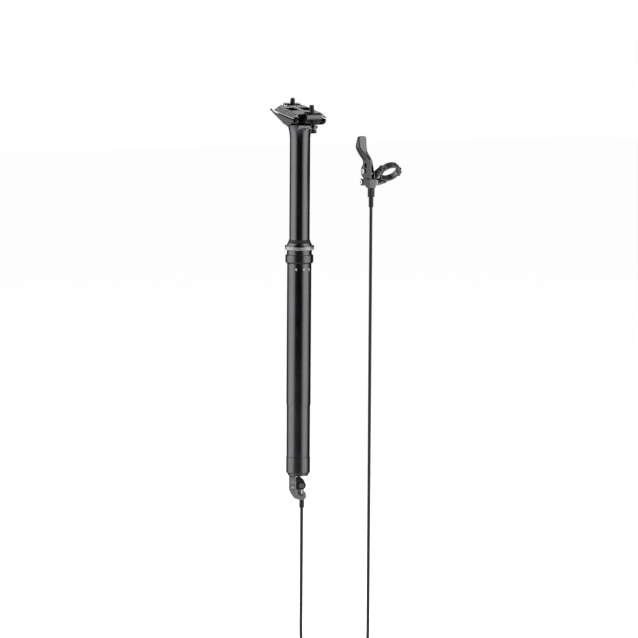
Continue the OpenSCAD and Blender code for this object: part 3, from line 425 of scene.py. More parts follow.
# Node groups shared by the finishes


def link_noise(tree, vector, scale, detail):
    """A noise texture on a vector socket."""
    noise = tree.nodes.new("ShaderNodeTexNoise")
    noise.inputs["Scale"].default_value = scale
    noise.inputs["Detail"].default_value = detail
    tree.links.new(vector, noise.inputs["Vector"])
    return noise


def grain_group():
    """Fine grain and broad patches on Object coordinates."""
    name = "Metal grain"
    if name in bpy.data.node_groups:
        return bpy.data.node_groups[name]
    tree = bpy.data.node_groups.new(name, "ShaderNodeTree")
    tree.interface.new_socket("Fine Scale", in_out="INPUT", socket_type="NodeSocketFloat")
    tree.interface.new_socket("Broad Scale", in_out="INPUT", socket_type="NodeSocketFloat")
    tree.interface.new_socket("Fine", in_out="OUTPUT", socket_type="NodeSocketFloat")
    tree.interface.new_socket("Broad", in_out="OUTPUT", socket_type="NodeSocketFloat")
    start = tree.nodes.new("NodeGroupInput")
    end = tree.nodes.new("NodeGroupOutput")
    place = tree.nodes.new("ShaderNodeTexCoord")
    fine = link_noise(tree, place.outputs["Object"], 1000, 2)
    broad = link_noise(tree, place.outputs["Object"], 40, 4)
    tree.links.new(start.outputs["Fine Scale"], fine.inputs["Scale"])
    tree.links.new(start.outputs["Broad Scale"], broad.inputs["Scale"])
    tree.links.new(fine.outputs["Fac"], end.inputs["Fine"])
    tree.links.new(broad.outputs["Fac"], end.inputs["Broad"])
    return tree


def edge_group():
    """Rounded edge normals and a mask along the edges."""
    name = "Worn edges"
    if name in bpy.data.node_groups:
        return bpy.data.node_groups[name]
    tree = bpy.data.node_groups.new(name, "ShaderNodeTree")
    tree.interface.new_socket("Width", in_out="INPUT", socket_type="NodeSocketFloat")
    tree.interface.new_socket("Mask", in_out="OUTPUT", socket_type="NodeSocketFloat")
    tree.interface.new_socket("Normal", in_out="OUTPUT", socket_type="NodeSocketVector")
    start = tree.nodes.new("NodeGroupInput")
    end = tree.nodes.new("NodeGroupOutput")
    bevel = tree.nodes.new("ShaderNodeBevel")
    bevel.samples = 6
    surface = tree.nodes.new("ShaderNodeNewGeometry")
    along = tree.nodes.new("ShaderNodeVectorMath")
    along.operation = "DOT_PRODUCT"
    spread = tree.nodes.new("ShaderNodeMapRange")
    spread.inputs["From Min"].default_value = 0.995
    spread.inputs["From Max"].default_value = 0.86
    tree.links.new(start.outputs["Width"], bevel.inputs["Radius"])
    tree.links.new(bevel.outputs["Normal"], along.inputs[0])
    tree.links.new(surface.outputs["Normal"], along.inputs[1])
    tree.links.new(along.outputs["Value"], spread.inputs["Value"])
    tree.links.new(spread.outputs["Result"], end.inputs["Mask"])
    tree.links.new(bevel.outputs["Normal"], end.inputs["Normal"])
    return tree


def place_group(tree, group, **values):
    """Put a node group in a material with its own values."""
    node = tree.nodes.new("ShaderNodeGroup")
    node.node_tree = group
    for name, value in values.items():
        node.inputs[name.replace("_", " ").title()].default_value = value
    return node


def map_value(tree, source, low, high):
    """A value from 0.3 to 0.7 spread from low to high."""
    node = tree.nodes.new("ShaderNodeMapRange")
    node.inputs["From Min"].default_value = 0.3
    node.inputs["From Max"].default_value = 0.7
    node.inputs["To Min"].default_value = low
    node.inputs["To Max"].default_value = high
    tree.links.new(source, node.inputs["Value"])
    return node.outputs["Result"]


def mix_colours(tree, factor, dark, light):
    """Mix two colours, or a colour socket and a colour, by a mask."""
    node = tree.nodes.new("ShaderNodeMix")
    node.data_type = "RGBA"
    tree.links.new(factor, node.inputs["Factor"])
    for socket, colour in ((node.inputs[6], dark), (node.inputs[7], light)):
        if isinstance(colour, bpy.types.NodeSocket):
            tree.links.new(colour, socket)
        else:
            socket.default_value = (*colour, 1)
    return node.outputs[2]


def tinted(colour, share):
    """A colour times a share, kept under 1."""
    return tuple(min(1, channel * share) for channel in colour)


def metal_finish(
    name,
    colour,
    rough,
    metallic=1.0,
    variation=0.12,
    rough_spread=0.06,
    fine_scale=1800,
    broad_scale=35,
    bump=0.08,
    edge_width=0.35 * MM,
    edge_gain=1.5,
    rim=0.3,
):
    """A metal finish with grain, patches, rounded edges and a lighter colour along them, partly wear and partly
    painted highlight.
    """
    material = bpy.data.materials.new(name)
    material.use_nodes = True
    tree = material.node_tree
    shader = tree.nodes["Principled BSDF"]
    grain = place_group(tree, grain_group(), fine_scale=fine_scale, broad_scale=broad_scale)
    edge = place_group(tree, edge_group(), width=edge_width)
    patches = map_value(tree, grain.outputs["Broad"], 0, 1)
    base = mix_colours(tree, patches, tinted(colour, 1 - variation), tinted(colour, 1 + variation))
    # Edges are painted lighter by edge_gain: partly wear, partly painted highlight.
    wear_and_highlight = mix_colours(tree, edge.outputs["Mask"], base, tinted(colour, edge_gain))
    tree.links.new(wear_and_highlight, shader.inputs["Base Color"])
    tree.links.new(
        map_value(tree, grain.outputs["Broad"], rough - rough_spread, rough + rough_spread),
        shader.inputs["Roughness"],
    )
    relief = tree.nodes.new("ShaderNodeBump")
    relief.inputs["Strength"].default_value = bump
    relief.inputs["Distance"].default_value = GRAIN_DEPTH
    tree.links.new(grain.outputs["Fine"], relief.inputs["Height"])
    tree.links.new(edge.outputs["Normal"], relief.inputs["Normal"])
    tree.links.new(relief.outputs["Normal"], shader.inputs["Normal"])
    shader.inputs["Metallic"].default_value = metallic
    shader.inputs["Specular Tint"].default_value = (rim, rim, rim, 1)
    return material


def plastic_finish(name, colour, rough, fine_scale=1500, bump=0.1, specular=0.4):
    """A moulded plastic or rubber finish with a fine skin."""
    material = bpy.data.materials.new(name)
    material.use_nodes = True
    tree = material.node_tree
    shader = tree.nodes["Principled BSDF"]
    grain = place_group(tree, grain_group(), fine_scale=fine_scale, broad_scale=60)
    patches = map_value(tree, grain.outputs["Broad"], 0, 1)
    tree.links.new(
        mix_colours(tree, patches, tinted(colour, 0.8), tinted(colour, 1.2)),
        shader.inputs["Base Color"],
    )
    spread = 0.07
    skin = map_value(tree, grain.outputs["Fine"], rough - spread, rough + spread)
    tree.links.new(skin, shader.inputs["Roughness"])
    relief = tree.nodes.new("ShaderNodeBump")
    relief.inputs["Strength"].default_value = bump
    relief.inputs["Distance"].default_value = GRAIN_DEPTH
    tree.links.new(grain.outputs["Fine"], relief.inputs["Height"])
    tree.links.new(relief.outputs["Normal"], shader.inputs["Normal"])
    shader.inputs["Specular IOR Level"].default_value = specular
    return material


def mask_beyond(material, direction, level):
    """A mask of what lies further along a direction than level."""
    tree = material.node_tree
    place = tree.nodes.new("ShaderNodeTexCoord")
    along = tree.nodes.new("ShaderNodeVectorMath")
    along.operation = "DOT_PRODUCT"
    along.inputs[1].default_value = direction
    tree.links.new(place.outputs["Object"], along.inputs[0])
    beyond = tree.nodes.new("ShaderNodeMath")
    beyond.operation = "GREATER_THAN"
    beyond.inputs[1].default_value = level
    tree.links.new(along.outputs["Value"], beyond.inputs[0])
    return beyond.outputs["Value"]


def refinish(material, mask, colour, rough):
    """Give what a mask covers another colour and roughness, with the same patches."""
    tree = material.node_tree
    shader = tree.nodes["Principled BSDF"]
    groups = [node for node in tree.nodes if node.type == "GROUP"]
    grain = next(node for node in groups if node.node_tree == grain_group())
    patches = map_value(tree, grain.outputs["Broad"], 0, 1)
    varied = mix_colours(tree, patches, tinted(colour, 0.9), tinted(colour, 1.1))
    plain = shader.inputs["Base Color"].links[0].from_socket
    tree.links.new(mix_colours(tree, mask, plain, varied), shader.inputs["Base Color"])
    before = shader.inputs["Roughness"].links[0].from_socket
    blend = tree.nodes.new("ShaderNodeMix")
    tree.links.new(mask, blend.inputs["Factor"])
    tree.links.new(before, blend.inputs["A"])
    spread = 0.04
    after = map_value(tree, grain.outputs["Broad"], rough - spread, rough + spread)
    tree.links.new(after, blend.inputs["B"])
    tree.links.new(blend.outputs["Result"], shader.inputs["Roughness"])


# Cable


def smooth_route(points, steps):
    """A smooth line through points."""
    last = len(points) - 1
    line = []
    for i in range(last):
        a = points[max(i - 1, 0)]
        b = points[i]
        c = points[i + 1]
        d = points[min(i + 2, last)]
        for step in range(steps):
            t = step / steps
            bend = 2 * a - 5 * b + 4 * c - d
            twist = 3 * b - a - 3 * c + d
            line.append(0.5 * (2 * b + (c - a) * t + bend * t * t + twist * t * t * t))
    line.append(points[last])
    return line


def coil_line(cable):
    """The stored coil: it spirals in on one layer, climbs, and spirals out on the other."""
    rings = 36
    climb = 0.5
    middle = cable.coil_turns / 2
    line = []
    for i in range(int(cable.coil_turns * rings) + 1):
        turn = i / rings
        rise = min(max((turn - middle + climb / 2) / climb, 0), 1)
        rise = rise * rise * (3 - 2 * rise)
        radius = cable.coil_inner + cable.coil_step * abs(turn - middle)
        angle = math.pi + 2 * math.pi * turn
        line.append(
            Vector(
                (
                    cable.coil_across + radius * math.cos(angle),
                    cable.coil_layer * (rise - 0.5),
                    cable.coil_height + radius * math.sin(angle),
                )
            )
        )
    return line


class SEATPOST_OT_lay_cable(bpy.types.Operator):
    """Lay the cable housing from the post's foot through its coil to the remote"""

    bl_idname = "seatpost.lay_cable"
    bl_label = "Lay cable"

    def execute(self, context):
        cable = context.scene.seatpost_cable
        steps = 6
        line = smooth_route([Vector(p) * MM for p in POST_ROUTE], steps)
        line += coil_line(cable)
        line += smooth_route([Vector(p) * MM for p in REMOTE_ROUTE], steps)
        turn = Matrix.Rotation(cable.bearing, 3, "Z")
        line = [turn @ point for point in line]
        data = bpy.data.curves.new("cable_housing", "CURVE")
        data.dimensions = "3D"
        data.bevel_depth = cable.diameter / 2
        data.bevel_resolution = 5
        spline = data.splines.new("POLY")
        spline.points.add(len(line) - 1)
        for place, point in zip(spline.points, line):
            place.co = (*point, 1)
        piece = bpy.data.objects.new("cable_housing", data)
        context.scene.collection.objects.link(piece)
        jacket = plastic_finish(
            "Cable jacket",
            (0.008, 0.008, 0.009),
            0.32,
            fine_scale=900,
            bump=0.05,
            specular=0.35,
        )
        give_material(piece, jacket)
        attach(piece, "post")
        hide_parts("cable_housing_post", "cable_coil", "cable_housing_remote")
        return {"FINISHED"}


# Cable tie


def tie_band(cable, width, wall):
    """A flat band with round corners round the coil's turns at their lowest point."""
    gap = 0.4 * MM
    radius = cable.diameter / 2 + gap
    outer = cable.coil_inner + cable.coil_step * cable.coil_turns / 2 + radius + wall
    inner = cable.coil_inner - radius - wall
    half = cable.coil_layer / 2 + radius + wall
    height = -(outer + inner) / 2
    corner = 2.2 * MM
    steps = 5
    loop = []
    for quarter, (side, up) in enumerate(((1, 1), (-1, 1), (-1, -1), (1, -1))):
        for step in range(steps + 1):
            angle = (quarter + step / steps) * math.pi / 2
            y = side * (half - corner) + corner * math.cos(angle)
            z = up * ((outer - inner) / 2 - corner) + corner * math.sin(angle)
            loop.append((y, height + z))
    count = len(loop)
    points = [(x, y, z) for x in (-width / 2, width / 2) for y, z in loop]
    faces = [(i, (i + 1) % count, count + (i + 1) % count, count + i) for i in range(count)]
    data = bpy.data.meshes.new("tie_band")
    data.from_pydata(points, [], faces)
    band = bpy.data.objects.new("tie_band", data)
    bpy.context.scene.collection.objects.link(band)
    apply_modifier(band, "SOLIDIFY", thickness=wall, offset=-1)
    apply_modifier(band, "BEVEL", width=0.25 * MM, segments=2, limit_method="ANGLE")
    return band, half, height


def tie_head(width, side, height):
    """The tie's square lock with its slot and the trimmed end of its strap."""
    size = width + 1.6 * MM
    deep = 3.6 * MM
    bpy.ops.mesh.primitive_cube_add(size=1, location=(0, side + deep / 2 - 0.3 * MM, height))
    head = bpy.context.object
    head.scale = (size, deep, size)
    bpy.ops.object.transform_apply(location=True, rotation=True, scale=True)
    bpy.ops.mesh.primitive_cube_add(size=1, location=(0, side + deep / 2, height))
    slot = bpy.context.object
    slot.scale = (width + 0.3 * MM, 1.5 * MM, 2 * size)
    bpy.ops.object.transform_apply(location=True, rotation=True, scale=True)
    apply_modifier(head, "BOOLEAN", operation="DIFFERENCE", object=slot, solver="EXACT")
    bpy.data.objects.remove(slot)
    apply_modifier(head, "BEVEL", width=0.4 * MM, segments=3, limit_method="ANGLE")
    deselect_all()
    bpy.ops.mesh.primitive_cube_add(size=1, location=(0, side + deep / 2, height + 1.5 * MM))
    tail = bpy.context.object
    tail.scale = (width, 1.1 * MM, size + 6 * MM)
    bpy.ops.object.transform_apply(location=True, rotation=True, scale=True)
    apply_modifier(tail, "BEVEL", width=0.3 * MM, segments=2, limit_method="ANGLE")
    return [head, tail]


class SEATPOST_OT_tie_coil(bpy.types.Operator):
    """Bind the stored coil with a cable tie"""

    bl_idname = "seatpost.tie_coil"
    bl_label = "Tie coil"

    def execute(self, context):
        cable = context.scene.seatpost_cable
        width = 5 * MM
        band, side, height = tie_band(cable, width, 1.2 * MM)
        deselect_all()
        tie = join_pieces([band, *tie_head(width, side, height)], "coil_tie")
        middle = Matrix.Translation((cable.coil_across, 0, cable.coil_height))
        set_in_place(tie, Matrix.Rotation(cable.bearing, 4, "Z") @ middle)
        smooth_by_angle(tie, 35)
        give_material(tie, plastic_finish("Tie nylon", (0.01, 0.01, 0.01), 0.45))
        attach(tie, "post")
        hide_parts("cable_tie")
        return {"FINISHED"}


# Clamp bolts


def bolt_head(bolts, low):
    """A round socket head whose underside is at low."""
    middle = low + bolts.head_height / 2
    bpy.ops.mesh.primitive_cylinder_add(
        vertices=48, radius=bolts.head_radius, depth=bolts.head_height, location=(0, 0, middle)
    )
    head = bpy.context.object
    bpy.ops.object.transform_apply(location=True, rotation=True, scale=True)
    apply_modifier(head, "BEVEL", width=0.35 * MM, segments=3, limit_method="ANGLE")
    bpy.ops.mesh.primitive_cylinder_add(
        vertices=6, radius=bolts.socket_width / 2, depth=5 * MM, location=(0, 0, low)
    )
    key = bpy.context.object
    apply_modifier(head, "BOOLEAN", operation="DIFFERENCE", object=key, solver="EXACT")
    bpy.data.objects.remove(key)
    return head


def bolt_shank(bolts, low, high):
    """The shank under the thread, with bevelled ends."""
    bpy.ops.mesh.primitive_cylinder_add(
        vertices=40, radius=bolts.root_radius, depth=high - low, location=(0, 0, (low + high) / 2)
    )
    shank = bpy.context.object
    bpy.ops.object.transform_apply(location=True, rotation=True, scale=True)
    apply_modifier(shank, "BEVEL", width=0.3 * MM, segments=2, limit_method="ANGLE")
    return shank


def bolt_thread(bolts, low, high):
    """A thread wound round the shank from low to just under high."""
    depth = bolts.crest_radius - bolts.root_radius
    bpy.ops.mesh.primitive_circle_add(
        vertices=3, radius=bolts.pitch * 0.48, location=(0, 0, 0), rotation=(math.pi / 2, 0, 0)
    )
    thread = bpy.context.object
    bpy.ops.object.transform_apply(location=True, rotation=True, scale=True)
    make_active(thread)
    bpy.ops.object.mode_set(mode="EDIT")
    bpy.ops.mesh.select_all(action="SELECT")
    bpy.ops.transform.rotate(value=math.pi / 2, orient_axis="Y", center_override=(0, 0, 0))
    bpy.ops.object.mode_set(mode="OBJECT")
    crest = max(v.co.x for v in thread.data.vertices)
    foot = min(v.co.x for v in thread.data.vertices)
    stretch = (depth + 0.15 * MM) / (crest - foot)
    bpy.ops.object.mode_set(mode="EDIT")
    bpy.ops.transform.resize(value=(stretch, 1, 1), center_override=(crest, 0, 0))
    bpy.ops.transform.translate(value=(bolts.crest_radius - crest, 0, low + bolts.pitch))
    bpy.ops.object.mode_set(mode="OBJECT")
    turns = int((high - low - 1.6 * bolts.pitch) / bolts.pitch)
    apply_modifier(
        thread,
        "SCREW",
        axis="Z",
        angle=2 * math.pi,
        screw_offset=bolts.pitch,
        iterations=turns,
        steps=28,
        render_steps=28,
        use_merge_vertices=True,
    )
    return thread


class SEATPOST_OT_cut_bolts(bpy.types.Operator):
    """Make the two threaded clamp bolts with their socket heads"""

    bl_idname = "seatpost.cut_bolts"
    bl_label = "Cut clamp bolts"

    def execute(self, context):
        bolts = context.scene.seatpost_bolts
        black = metal_finish(
            "Black oxide bolt",
            (0.028, 0.029, 0.031),
            0.36,
            variation=0.25,
            edge_width=0.12 * MM,
            edge_gain=2.2,
        )
        for side, lean in (("front", bolts.front_lean), ("rear", bolts.rear_lean)):
            node = NODES[side + "_bolt"]
            centre = Vector(JOINT_PLACE[side + "_nut_swivel"])
            place = Matrix.Translation(centre) @ Matrix.Rotation(lean, 4, "Y")
            heights = [(place.inverted() @ vertex.co).z for vertex in node.data.vertices]
            low = min(heights)
            high = max(heights)
            shoulder = low + bolts.head_height
            deselect_all()
            head = bolt_head(bolts, low)
            deselect_all()
            shank = bolt_shank(bolts, shoulder - 0.2 * MM, high)
            deselect_all()
            thread = bolt_thread(bolts, shoulder, high)
            bolt = join_pieces([head, shank, thread], side + "_clamp_bolt")
            bpy.ops.object.mode_set(mode="EDIT")
            bpy.ops.mesh.select_all(action="SELECT")
            bpy.ops.mesh.remove_doubles(threshold=0.001 * MM)
            bpy.ops.mesh.normals_make_consistent(inside=False)
            bpy.ops.object.mode_set(mode="OBJECT")
            set_in_place(bolt, place)
            smooth_by_angle(bolt, 35)
            give_material(bolt, black)
            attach(bolt, side + "_bolt")
            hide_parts(side + "_bolt")
        return {"FINISHED"}


# Finishes of the CAD pieces


def tube_marks(material):
    """Three small insertion marks round the tube, just under the collar."""
    tree = material.node_tree
    shader = tree.nodes["Principled BSDF"]
    plain = shader.inputs["Base Color"].links[0].from_socket
    place = tree.nodes.new("ShaderNodeTexCoord")
    split = tree.nodes.new("ShaderNodeSeparateXYZ")
    tree.links.new(place.outputs["Object"], split.inputs["Vector"])
    bearing = tree.nodes.new("ShaderNodeMath")
    bearing.operation = "ARCTAN2"
    tree.links.new(split.outputs["Y"], bearing.inputs[0])
    tree.links.new(split.outputs["X"], bearing.inputs[1])
    level = tree.nodes.new("ShaderNodeMath")
    level.operation = "COMPARE"
    level.inputs[1].default_value = MARK_LEVEL
    level.inputs[2].default_value = MARK_HALF_HEIGHT
    tree.links.new(split.outputs["Z"], level.inputs[0])
    marks = None
    for degrees in MARK_BEARINGS:
        near = tree.nodes.new("ShaderNodeMath")
        near.operation = "COMPARE"
        near.inputs[1].default_value = math.radians(degrees)
        near.inputs[2].default_value = MARK_HALF_WIDTH
        tree.links.new(bearing.outputs["Value"], near.inputs[0])
        if marks is None:
            marks = near.outputs["Value"]
            continue
        both = tree.nodes.new("ShaderNodeMath")
        both.operation = "MAXIMUM"
        tree.links.new(marks, both.inputs[0])
        tree.links.new(near.outputs["Value"], both.inputs[1])
        marks = both.outputs["Value"]
    printed = tree.nodes.new("ShaderNodeMath")
    printed.operation = "MULTIPLY"
    tree.links.new(marks, printed.inputs[0])
    tree.links.new(level.outputs["Value"], printed.inputs[1])
    paint = mix_colours(tree, printed.outputs["Value"], plain, (0.34, 0.34, 0.34))
    tree.links.new(paint, shader.inputs["Base Color"])
    bare = tree.nodes.new("ShaderNodeMath")
    bare.operation = "SUBTRACT"
    bare.inputs[0].default_value = 1
    tree.links.new(printed.outputs["Value"], bare.inputs[1])
    tree.links.new(bare.outputs["Value"], shader.inputs["Metallic"])


class SEATPOST_OT_finish_tubes(bpy.types.Operator):
    """Finish the outer tube, the sleeve, the cap and the sliding tube"""

    bl_idname = "seatpost.finish_tubes"
    bl_label = "Finish tubes"

    def execute(self, context):
        colour = context.scene.seatpost_finish.tube_colour
        outer = metal_finish("Anodised tube", colour, 0.23, variation=0.05, rough_spread=0.03, bump=0.03)
        tube_marks(outer)
        dress_nodes(outer, "outer_tube")
        sleeve = metal_finish(
            "Anodised sleeve",
            colour,
            0.23,
            variation=0.05,
            rough_spread=0.03,
            bump=0.03,
        )
        dress_nodes(sleeve, "lower_sleeve", "bottom_cap")
        slider = metal_finish(
            "Hard anodised slider",
            tinted(colour, 1.05),
            0.23,
            variation=0.04,
            rough_spread=0.02,
            bump=0.02,
        )
        # The head's top above HEAD_TOP is painted near black and matte as painted shade under the clamp.
        rim = mask_beyond(slider, (0, 0, 1), HEAD_TOP - 0.2 * MM)
        refinish(slider, rim, (0.012, 0.012, 0.012), 0.75)
        dress_nodes(slider, "stanchion")
        return {"FINISHED"}


class SEATPOST_OT_finish_seal_head(bpy.types.Operator):
    """Finish the collar, the silver ring and the wiper"""

    bl_idname = "seatpost.finish_seal_head"
    bl_label = "Finish seal head"

    def execute(self, context):
        finish = context.scene.seatpost_finish
        collar = metal_finish(
            "Anodised collar",
            finish.tube_colour,
            0.25,
            variation=0.08,
            edge_width=0.5 * MM,
        )
        dress_nodes(collar, "seal_head")
        ring = metal_finish(
            "Speckled silver",
            finish.ring_colour,
            0.57,
            variation=0.4,
            broad_scale=700,
            fine_scale=1300,
            bump=0.5,
            edge_width=0.3 * MM,
            edge_gain=1.1,
            rim=1.0,
        )
        land = mask_beyond(ring, (0, 0, 1), RING_LAND)
        refinish(ring, land, tinted(finish.ring_colour, 0.36), 0.25)
        dress_nodes(ring, "lock_ring")
        wiper = plastic_finish(
            "Wiper rubber",
            (0.012, 0.012, 0.012),
            0.6,
            fine_scale=1200,
            bump=0.2,
            specular=0.25,
        )
        dress_nodes(wiper, "wiper_seal")
        return {"FINISHED"}


class SEATPOST_OT_finish_clamp(bpy.types.Operator):
    """Finish the saddle clamp's plates, nuts and washers"""

    bl_idname = "seatpost.finish_clamp"
    bl_label = "Finish saddle clamp"

    def execute(self, context):
        finish = context.scene.seatpost_finish
        # One grey metal painted in three tones: the rest of the plate near black and its serrated wings a middle
        # tone as painted shade, its top face lighter as painted light from above.
        plate = metal_finish(
            "Clamp plate with painted light and shade",
            tinted(finish.tube_colour, 0.35),
            0.4,
            variation=0.08,
            bump=0.1,
            edge_gain=2.5,
        )
        for side in (1, -1):
            wing = mask_beyond(plate, (0, side, 0), finish.plate_middle)
            refinish(plate, wing, tinted(finish.tube_colour, 2.6), 0.3)
        rail = Vector(RAIL["axis"])
        upward = rail.cross(Vector((0, 1, 0))).normalized()
        if upward.z < 0:
            upward = -upward
        # The top face is painted light grey as painted light from the overhead softbox.
        face = upward.dot(Vector(RAIL["pos_m"])) + finish.plate_height - 0.2 * MM
        refinish(plate, mask_beyond(plate, upward, face), finish.lit_plate_colour, 0.38)
        dress_nodes(plate, "top_clamp")
        cradle = metal_finish("Forged cradle", (0.052, 0.052, 0.054), 0.32, variation=0.12, bump=0.12)
        dress_nodes(cradle, "lower_cradle")
        nut = metal_finish("Turned nut", (0.07, 0.0705, 0.072), 0.26, variation=0.1)
        dress_nodes(nut, "front_nut", "rear_nut")
        washer = metal_finish("Plain washer", (0.16, 0.16, 0.165), 0.4)
        dress_nodes(washer, "bolt_washers")
        return {"FINISHED"}


class SEATPOST_OT_finish_actuator(bpy.types.Operator):
    """Finish the cable actuator at the post's foot"""

    bl_idname = "seatpost.finish_actuator"
    bl_label = "Finish actuator"

    def execute(self, context):
        bracket = metal_finish("Cast bracket", (0.3, 0.3, 0.305), 0.48, variation=0.12, bump=0.25)
        dress_nodes(bracket, "actuator_bracket")
        # Its edges are painted four times lighter than its faces as a painted highlight.
        lever = metal_finish("Actuator lever", (0.04, 0.04, 0.042), 0.34, variation=0.1, edge_gain=4)
        dress_nodes(lever, "actuator_lever")
        pin = metal_finish("Pivot pin", (0.72, 0.72, 0.73), 0.36, rim=0.9, edge_gain=1.1)
        dress_nodes(pin, "bracket_pin", "actuator_pivot")
        anchor = metal_finish("Turned anchor", (0.28, 0.28, 0.285), 0.28, edge_gain=2)
        dress_nodes(anchor, "cable_anchor")
        wire = metal_finish(
            "Drawn wire",
            (0.66, 0.66, 0.67),
            0.3,
            fine_scale=4000,
            bump=0.4,
            edge_width=0.1 * MM,
            rim=1.0,
        )
        dress_nodes(wire, "inner_wire", "anchor_grub")
        # A dark copy of the drawn wire, painted as painted shade, for the upper wire, the cable head and the valve
        # rod.
        shaded = metal_finish(
            "Wire in painted shade",
            (0.12, 0.12, 0.122),
            0.3,
            fine_scale=4000,
            bump=0.4,
            edge_width=0.1 * MM,
        )
        dress_nodes(shaded, "upper_wire", "cable_head", "valve_rod")
        sleeve = metal_finish("Black ferrule", (0.034, 0.034, 0.036), 0.3)
        dress_nodes(sleeve, "lower_ferrule", "remote_ferrule")
        return {"FINISHED"}


class SEATPOST_OT_finish_remote(bpy.types.Operator):
    """Finish the remote's lever, perch, bar clamp and bolts"""

    bl_idname = "seatpost.finish_remote"
    bl_label = "Finish remote"

    def execute(self, context):
        finish = context.scene.seatpost_finish
        lever = metal_finish(
            "Satin lever",
            finish.lever_colour,
            0.33,
            variation=0.06,
            bump=0.05,
            edge_width=0.5 * MM,
            edge_gain=1.2,
        )
        dress_nodes(lever, "remote_lever")
        perch = metal_finish(
            "Satin perch",
            finish.lever_colour,
            0.42,
            variation=0.08,
            edge_width=1.0 * MM,
        )
        dress_nodes(perch, "remote_perch")
        ring = metal_finish(
            "Satin bar clamp",
            tinted(finish.lever_colour, 1.6),
            0.4,
            variation=0.08,
            edge_width=0.8 * MM,
        )
        dress_nodes(ring, "bar_bracket", "clamp_band")
        turned = metal_finish("Turned adjuster", (0.038, 0.038, 0.04), 0.28, variation=0.08)
        dress_nodes(turned, "barrel_adjuster")
        bright = metal_finish(
            "Bright socket bolt",
            (0.62, 0.62, 0.625),
            0.38,
            variation=0.06,
            rim=1.0,
            edge_gain=1.1,
        )
        dress_nodes(bright, "perch_bolt", "lever_pivot")
        dark = metal_finish("Dark clamp bolt", (0.05, 0.05, 0.052), 0.35)
        dress_nodes(dark, "clamp_bolt", "clamp_hinge")
        return {"FINISHED"}


# Castings


def softened_copy(node, name, voxel, rounds, low, high, least):
    """A copy of a CAD piece with smoothed edges, smoothed the least under low and most over high."""
    piece = bpy.data.objects.new(name, NODES[node].data.copy())
    bpy.context.scene.collection.objects.link(piece)
    make_active(piece)
    bpy.ops.object.mode_set(mode="EDIT")
    bpy.ops.mesh.select_all(action="SELECT")
    bpy.ops.mesh.remove_doubles(threshold=0.01 * MM)
    bpy.ops.object.mode_set(mode="OBJECT")
    apply_modifier(piece, "REMESH", mode="VOXEL", voxel_size=voxel, use_smooth_shade=True)
    group = piece.vertex_groups.new(name="soft")
    for vertex in piece.data.vertices:
        share = min(max((vertex.co.z - low) / (high - low), 0), 1)
        group.add([vertex.index], least + (1 - least) * share, "REPLACE")
    apply_modifier(piece, "SMOOTH", factor=0.5, iterations=rounds, vertex_group="soft")
    piece.vertex_groups.clear()
    return piece


class SEATPOST_OT_soften_castings(bpy.types.Operator):
    """Round the remote's lever and the actuator's bracket as castings are"""

    bl_idname = "seatpost.soften_castings"
    bl_label = "Soften castings"

    def execute(self, context):
        lever = softened_copy(
            "remote_lever",
            "thumb_lever",
            voxel=0.4 * MM,
            rounds=120,
            low=124 * MM,
            high=136 * MM,
            least=0.1,
        )
        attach(lever, "lever")
        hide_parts("remote_lever")
        bracket = softened_copy(
            "actuator_bracket",
            "cast_bracket",
            voxel=0.3 * MM,
            rounds=30,
            low=0,
            high=MM,
            least=1,
        )
        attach(bracket, "post")
        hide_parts("actuator_bracket")
        return {"FINISHED"}


class SEATPOST_OT_finish_inside(bpy.types.Operator):
    """Finish the cartridge, bushes and keys inside the tubes"""

    bl_idname = "seatpost.finish_inside"
    bl_label = "Finish inner pieces"

    def execute(self, context):
        steel = metal_finish("Ground cartridge steel", (0.52, 0.53, 0.54), 0.25, rim=0.9, edge_gain=1.1)
        dress_nodes(steel, "cartridge_body", "cartridge_rod", "rod_nut")
        gland = metal_finish("Machined gland", (0.3, 0.3, 0.31), 0.35)
        dress_nodes(gland, "cartridge_gland", "cartridge_piston")
        brass = metal_finish("Brass key", (0.66, 0.46, 0.17), 0.3, rim=0.9, edge_gain=1.1)
        dress_nodes(brass, "guide_keys")
        polymer = plastic_finish("Bearing polymer", (0.55, 0.5, 0.36), 0.5)
        dress_nodes(polymer, "upper_bush", "lower_bush")
        return {"FINISHED"}


# Studio


def make_camera(context, studio):
    """The camera at the photograph's viewing angle."""
    data = bpy.data.cameras.new("studio_camera")
    camera = bpy.data.objects.new("studio_camera", data)
    context.scene.collection.objects.link(camera)
    context.scene.camera = camera
    data.sensor_width = 36
    data.lens = studio.lens
    back = Vector(
        (
            math.sin(studio.azimuth) * math.cos(studio.elevation),
            -math.cos(studio.azimuth) * math.cos(studio.elevation),
            math.sin(studio.elevation),
        )
    )
    distance = studio.frame_width * studio.lens / data.sensor_width
    camera.location = Vector(studio.target) + back * distance
    aim = (-back).to_track_quat("-Z", "Y").to_matrix() @ Matrix.Rotation(studio.roll, 3, "Z")
    camera.rotation_euler = aim.to_euler()
    data.clip_start = 0.1
    data.clip_end = 100
    return back


def fade_softbox(tree):
    """Let a softbox fade towards its upright edges."""
    place = tree.nodes.new("ShaderNodeNewGeometry")
    split = tree.nodes.new("ShaderNodeSeparateXYZ")
    tree.links.new(place.outputs["Parametric"], split.inputs["Vector"])
    off_centre = tree.nodes.new("ShaderNodeMath")
    off_centre.operation = "SUBTRACT"
    off_centre.inputs[1].default_value = 0.5
    tree.links.new(split.outputs["X"], off_centre.inputs[0])
    distance = tree.nodes.new("ShaderNodeMath")
    distance.operation = "ABSOLUTE"
    tree.links.new(off_centre.outputs["Value"], distance.inputs[0])
    fade = tree.nodes.new("ShaderNodeMapRange")
    fade.interpolation_type = "SMOOTHSTEP"
    fade.inputs["From Min"].default_value = 0.12
    fade.inputs["From Max"].default_value = 0.5
    fade.inputs["To Min"].default_value = 1.6
    fade.inputs["To Max"].default_value = 0
    tree.links.new(distance.outputs["Value"], fade.inputs["Value"])
    tree.links.new(fade.outputs["Result"], tree.nodes["Emission"].inputs["Strength"])


